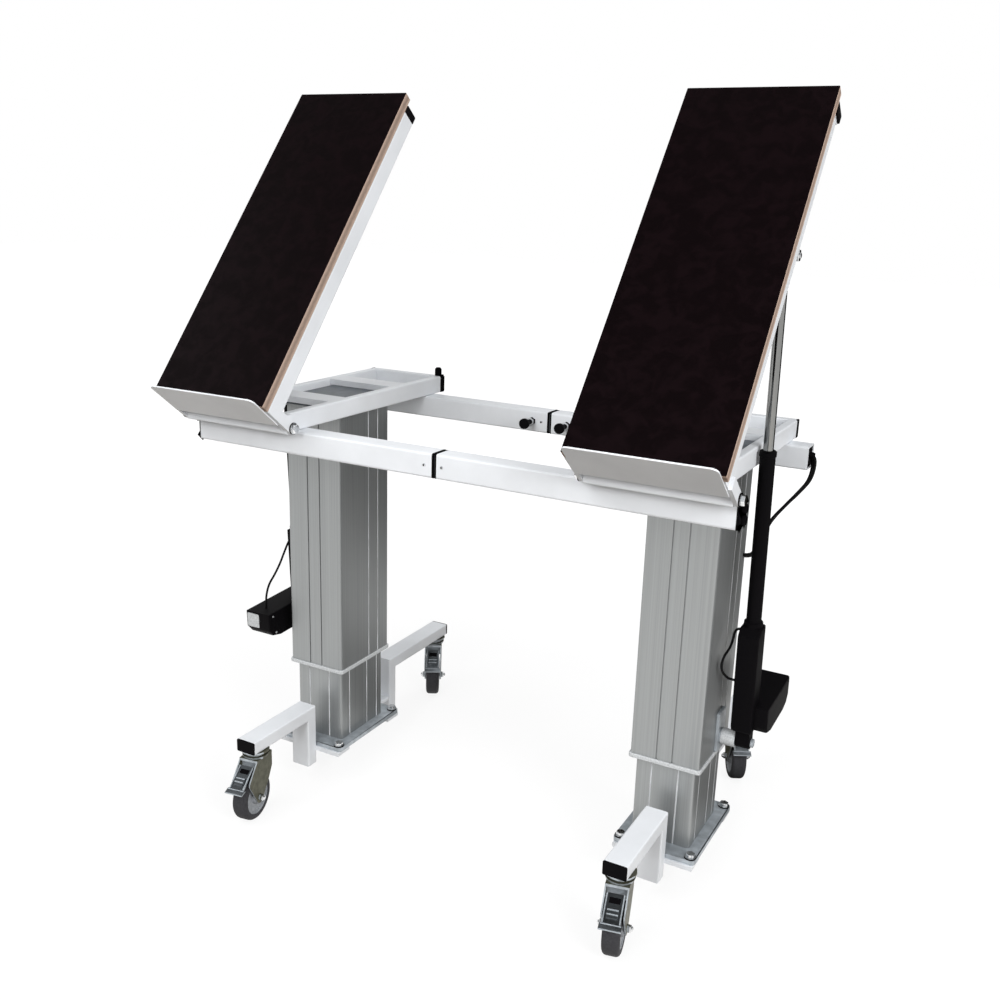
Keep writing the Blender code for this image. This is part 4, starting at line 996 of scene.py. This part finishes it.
class TABLE_OT_plungers(bpy.types.Operator):
    """Knobs and hexagon collars of the plungers that lock the width"""

    bl_idname = "table.plungers"
    bl_label = "Plungers"

    def execute(self, context):
        reach = context.scene.table_sizes.knob * 1000
        knob = turned([
            (reach * 0.48, 0.0), (reach * 0.8, 0.7), (reach * 0.96, 2.6), (reach, 6.0),
            (reach * 0.95, 11.0), (reach * 0.7, 14.5), (reach * 0.5, 17.0), (reach * 0.48, 36.0),
            (4.0, 36.1), (4.0, 48.4),
        ], 36)
        collar = ringed([(9.6, 4.5), (9.2, 5.1), (4.5, 5.1)], 6)
        black = [finish_named("moulded_black_nylon")]
        for unit, _ in UNITS:
            low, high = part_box(f"{unit}_plunger")
            spot = Vector(((low.x + high.x) / 2, low.y - KNOB_FURTHER, (low.z + high.z) / 2))
            hand_in(
                copy_to(knob, at(spot, -QUARTER, "X")), f"{unit}_plunger_knob", black,
                f"{unit}_plunger_body", [f"{unit}_plunger"],
            )
            spot.y += COLLAR_BEHIND
            hand_in(
                copy_to(collar, at(spot, -QUARTER, "X")), f"{unit}_plunger_collar", black,
                f"{unit}_top",
            )
        drop(knob, collar)
        return {"FINISHED"}


class TABLE_OT_actuators(bpy.types.Operator):
    """Rounded actuator housings, rods and brackets with their small fittings"""

    bl_idname = "table.actuators"
    bl_label = "Actuators"

    def execute(self, context):
        pale = [finish_named("pale_glide_plastic")]
        bright = [finish_named("bright_plated_bolt")]
        screw = turned([(2.8, 0.0), (2.8, 0.8), (2.2, 1.5), (1.3, 1.6), (1.2, 0.9)], 18)
        bush = ringed([(17.6, 13.4), (16.8, 14.8), (16.05, 14.8)], 40)
        for unit, side in UNITS:
            place = actuator_place(unit)
            dress(f"{unit}_actuator_housing", 0.0008)
            dress(f"{unit}_actuator_rod", 0.0004)
            # The bracket is in the lighter zinc, painted light that stands in for the light it catches
            dress(f"{unit}_actuator_bracket", 0.0008, "zinc_painted_light")
            plate = box((0.010, 0.1521, 0.054), (0.045, 0.1528, 0.089))
            soften(plate, 0.003, 3, lambda middle, along: abs(along.y) > 0.99)
            settle(plate, place)
            hand_in(plate, f"{unit}_motor_plate", pale, f"{unit}_actuator")
            for number, y, z in ((1, 0.138, 0.086), (2, 0.130, 0.042)):
                made = copy_to(screw, place @ at((MOTOR_FACE, y, z), -QUARTER))
                hand_in(made, f"{unit}_motor_screw_{number}", bright, f"{unit}_actuator")
            pivot = Vector(JOINTS[f"{unit}_actuator_pivot"]["pos_m"])
            pivot.x -= side * BUSH_IN
            made = copy_to(bush, at(pivot, QUARTER))
            hand_in(made, f"{unit}_pivot_bush", pale, f"{unit}_top")
        drop(screw, bush)
        return {"FINISHED"}


class TABLE_OT_bolts(bpy.types.Operator):
    """Bright bolts of the hinges, the actuator ears and the column feet"""

    bl_idname = "table.bolts"
    bl_label = "Bolts"

    def execute(self, context):
        bright = [finish_named("bright_plated_bolt")]
        bolt = weld_up([
            turned([(12.4, 0.0), (12.4, 2.4), (11.8, 2.8), (6.0, 2.8)], 32),
            turned([(9.0, 2.7), (9.8, 3.3), (9.8, 8.8), (8.8, 9.8), (4.0, 9.8)], 6),
        ])
        # The washer under the head is black
        bolt.data.materials.append(bright[0])
        coat(bolt, "moulded_black_nylon", lambda middle, normal: middle.xy.length > 0.0099)
        nut = weld_up([
            turned([
                (8.9, 0.0), (8.9, 4.3), (10.8, 4.4), (11.4, 5.2), (11.4, 10.6), (10.4, 11.6),
                (5.4, 11.6),
            ], 6),
            turned([(5.3, 11.4), (5.3, 13.2), (4.6, 13.9)], 20),
        ])
        head = turned([(8.9, -0.2), (8.9, 3.6), (8.2, 4.25), (4.0, 4.25)], 6)
        ear = EAR.copy()
        ear.rotate(Matrix.Rotation(TILT, 3, "X"))
        for unit, side in UNITS:
            low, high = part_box(f"{unit}_board_panel")
            outer, inner = (high.x, low.x) if side > 0 else (low.x, high.x)
            for name, x, way in (("outer", outer, side), ("inner", inner, -side)):
                made = copy_to(bolt, at((x - way * SUNK, HINGE.y, HINGE.z), way * QUARTER))
                hand_in(made, f"{unit}_hinge_bolt_{name}", None, f"{unit}_board")
            for name, part, out, way in (
                ("nut", nut, EAR_NUT_OUT, side), ("head", head, EAR_HEAD_OUT, -side),
            ):
                spot = (side * (COLUMN_X + out), HINGE.y + ear.y, HINGE.z + ear.z)
                made = copy_to(part, at(spot, way * QUARTER))
                hand_in(made, f"{unit}_ear_{name}", bright, f"{unit}_board")
            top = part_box(f"{unit}_column_base_plate")[1].z - FOOT_BOLT_HEIGHT
            for number in range(4):
                spot = (
                    side * COLUMN_X + (-FOOT_BOLT_X if number % 2 else FOOT_BOLT_X),
                    COLUMN_Y + (-FOOT_BOLT_Y if number < 2 else FOOT_BOLT_Y), top,
                )
                made = copy_to(bolt, Matrix.Translation(spot))
                hand_in(made, f"{unit}_foot_bolt_{number + 1}", None, f"{unit}_base")
        drop(bolt, nut, head)
        return {"FINISHED"}


class TABLE_OT_rounding(bpy.types.Operator):
    """Rounded copies of the columns, boards, plates, collars and caps"""

    bl_idname = "table.rounding"
    bl_label = "Plates and caps"

    def execute(self, context):
        for unit, _ in UNITS:
            for name, rounding in (
                ("column_collar", 0.0012), ("column_top_plate", 0.0008),
                ("arm_cap_front", 0.001), ("arm_cap_rear", 0.001), ("rail_cap_inner", 0.001),
                ("rail_cap_outer", 0.001), ("board_cap_inner", 0.001), ("board_cap_outer", 0.001),
                ("board_panel", 0.0007), ("column_inner", 0.0007), ("column_outer", 0.0007),
            ):
                dress(f"{unit}_{name}", rounding)
            # The base plate is in the lighter zinc, painted light that stands in for the reflections it catches
            dress(f"{unit}_column_base_plate", 0.001, "zinc_painted_light")
            for name, ends in (("column_inner", True), ("column_outer", False)):
                column = bpy.data.objects[f"{unit}_{name}_dressed"]
                # The groove faces get the pale finish, as painted highlights along the grooves
                coat(column, "groove_painted_highlight", groove_test(f"{unit}_{name}", ends))
        return {"FINISHED"}


class TABLE_PT_dressing(bpy.types.Panel):
    """Lists the steps, sizes and colours of the dressing"""

    bl_idname = "TABLE_PT_dressing"
    bl_label = "Table"
    bl_space_type = "VIEW_3D"
    bl_region_type = "UI"
    bl_category = "Table"

    def draw(self, context):
        column = self.layout.column()
        for step in STEPS:
            column.operator(step.bl_idname)
        for group in (context.scene.table_sizes, context.scene.table_finishes):
            for name in group.__annotations__:
                column.prop(group, name)


STEPS = (
    TABLE_OT_stage, TABLE_OT_finishes, TABLE_OT_cables, TABLE_OT_castors, TABLE_OT_beam_ends,
    TABLE_OT_plungers, TABLE_OT_actuators, TABLE_OT_bolts, TABLE_OT_rounding,
)


def register():
    for kind in (TableSizes, TableFinishes, *STEPS, TABLE_PT_dressing):
        bpy.utils.register_class(kind)
    bpy.types.Scene.table_sizes = PointerProperty(type=TableSizes)
    bpy.types.Scene.table_finishes = PointerProperty(type=TableFinishes)


def unregister():
    del bpy.types.Scene.table_finishes
    del bpy.types.Scene.table_sizes
    for kind in (TABLE_PT_dressing, *reversed(STEPS), TableFinishes, TableSizes):
        bpy.utils.unregister_class(kind)


def main():
    register()
    bpy.ops.table.stage()
    bpy.ops.table.finishes()
    bpy.ops.table.cables()
    bpy.ops.table.castors()
    bpy.ops.table.beam_ends()
    bpy.ops.table.plungers()
    bpy.ops.table.actuators()
    bpy.ops.table.bolts()
    bpy.ops.table.rounding()


if __name__ == "__main__":
    main()
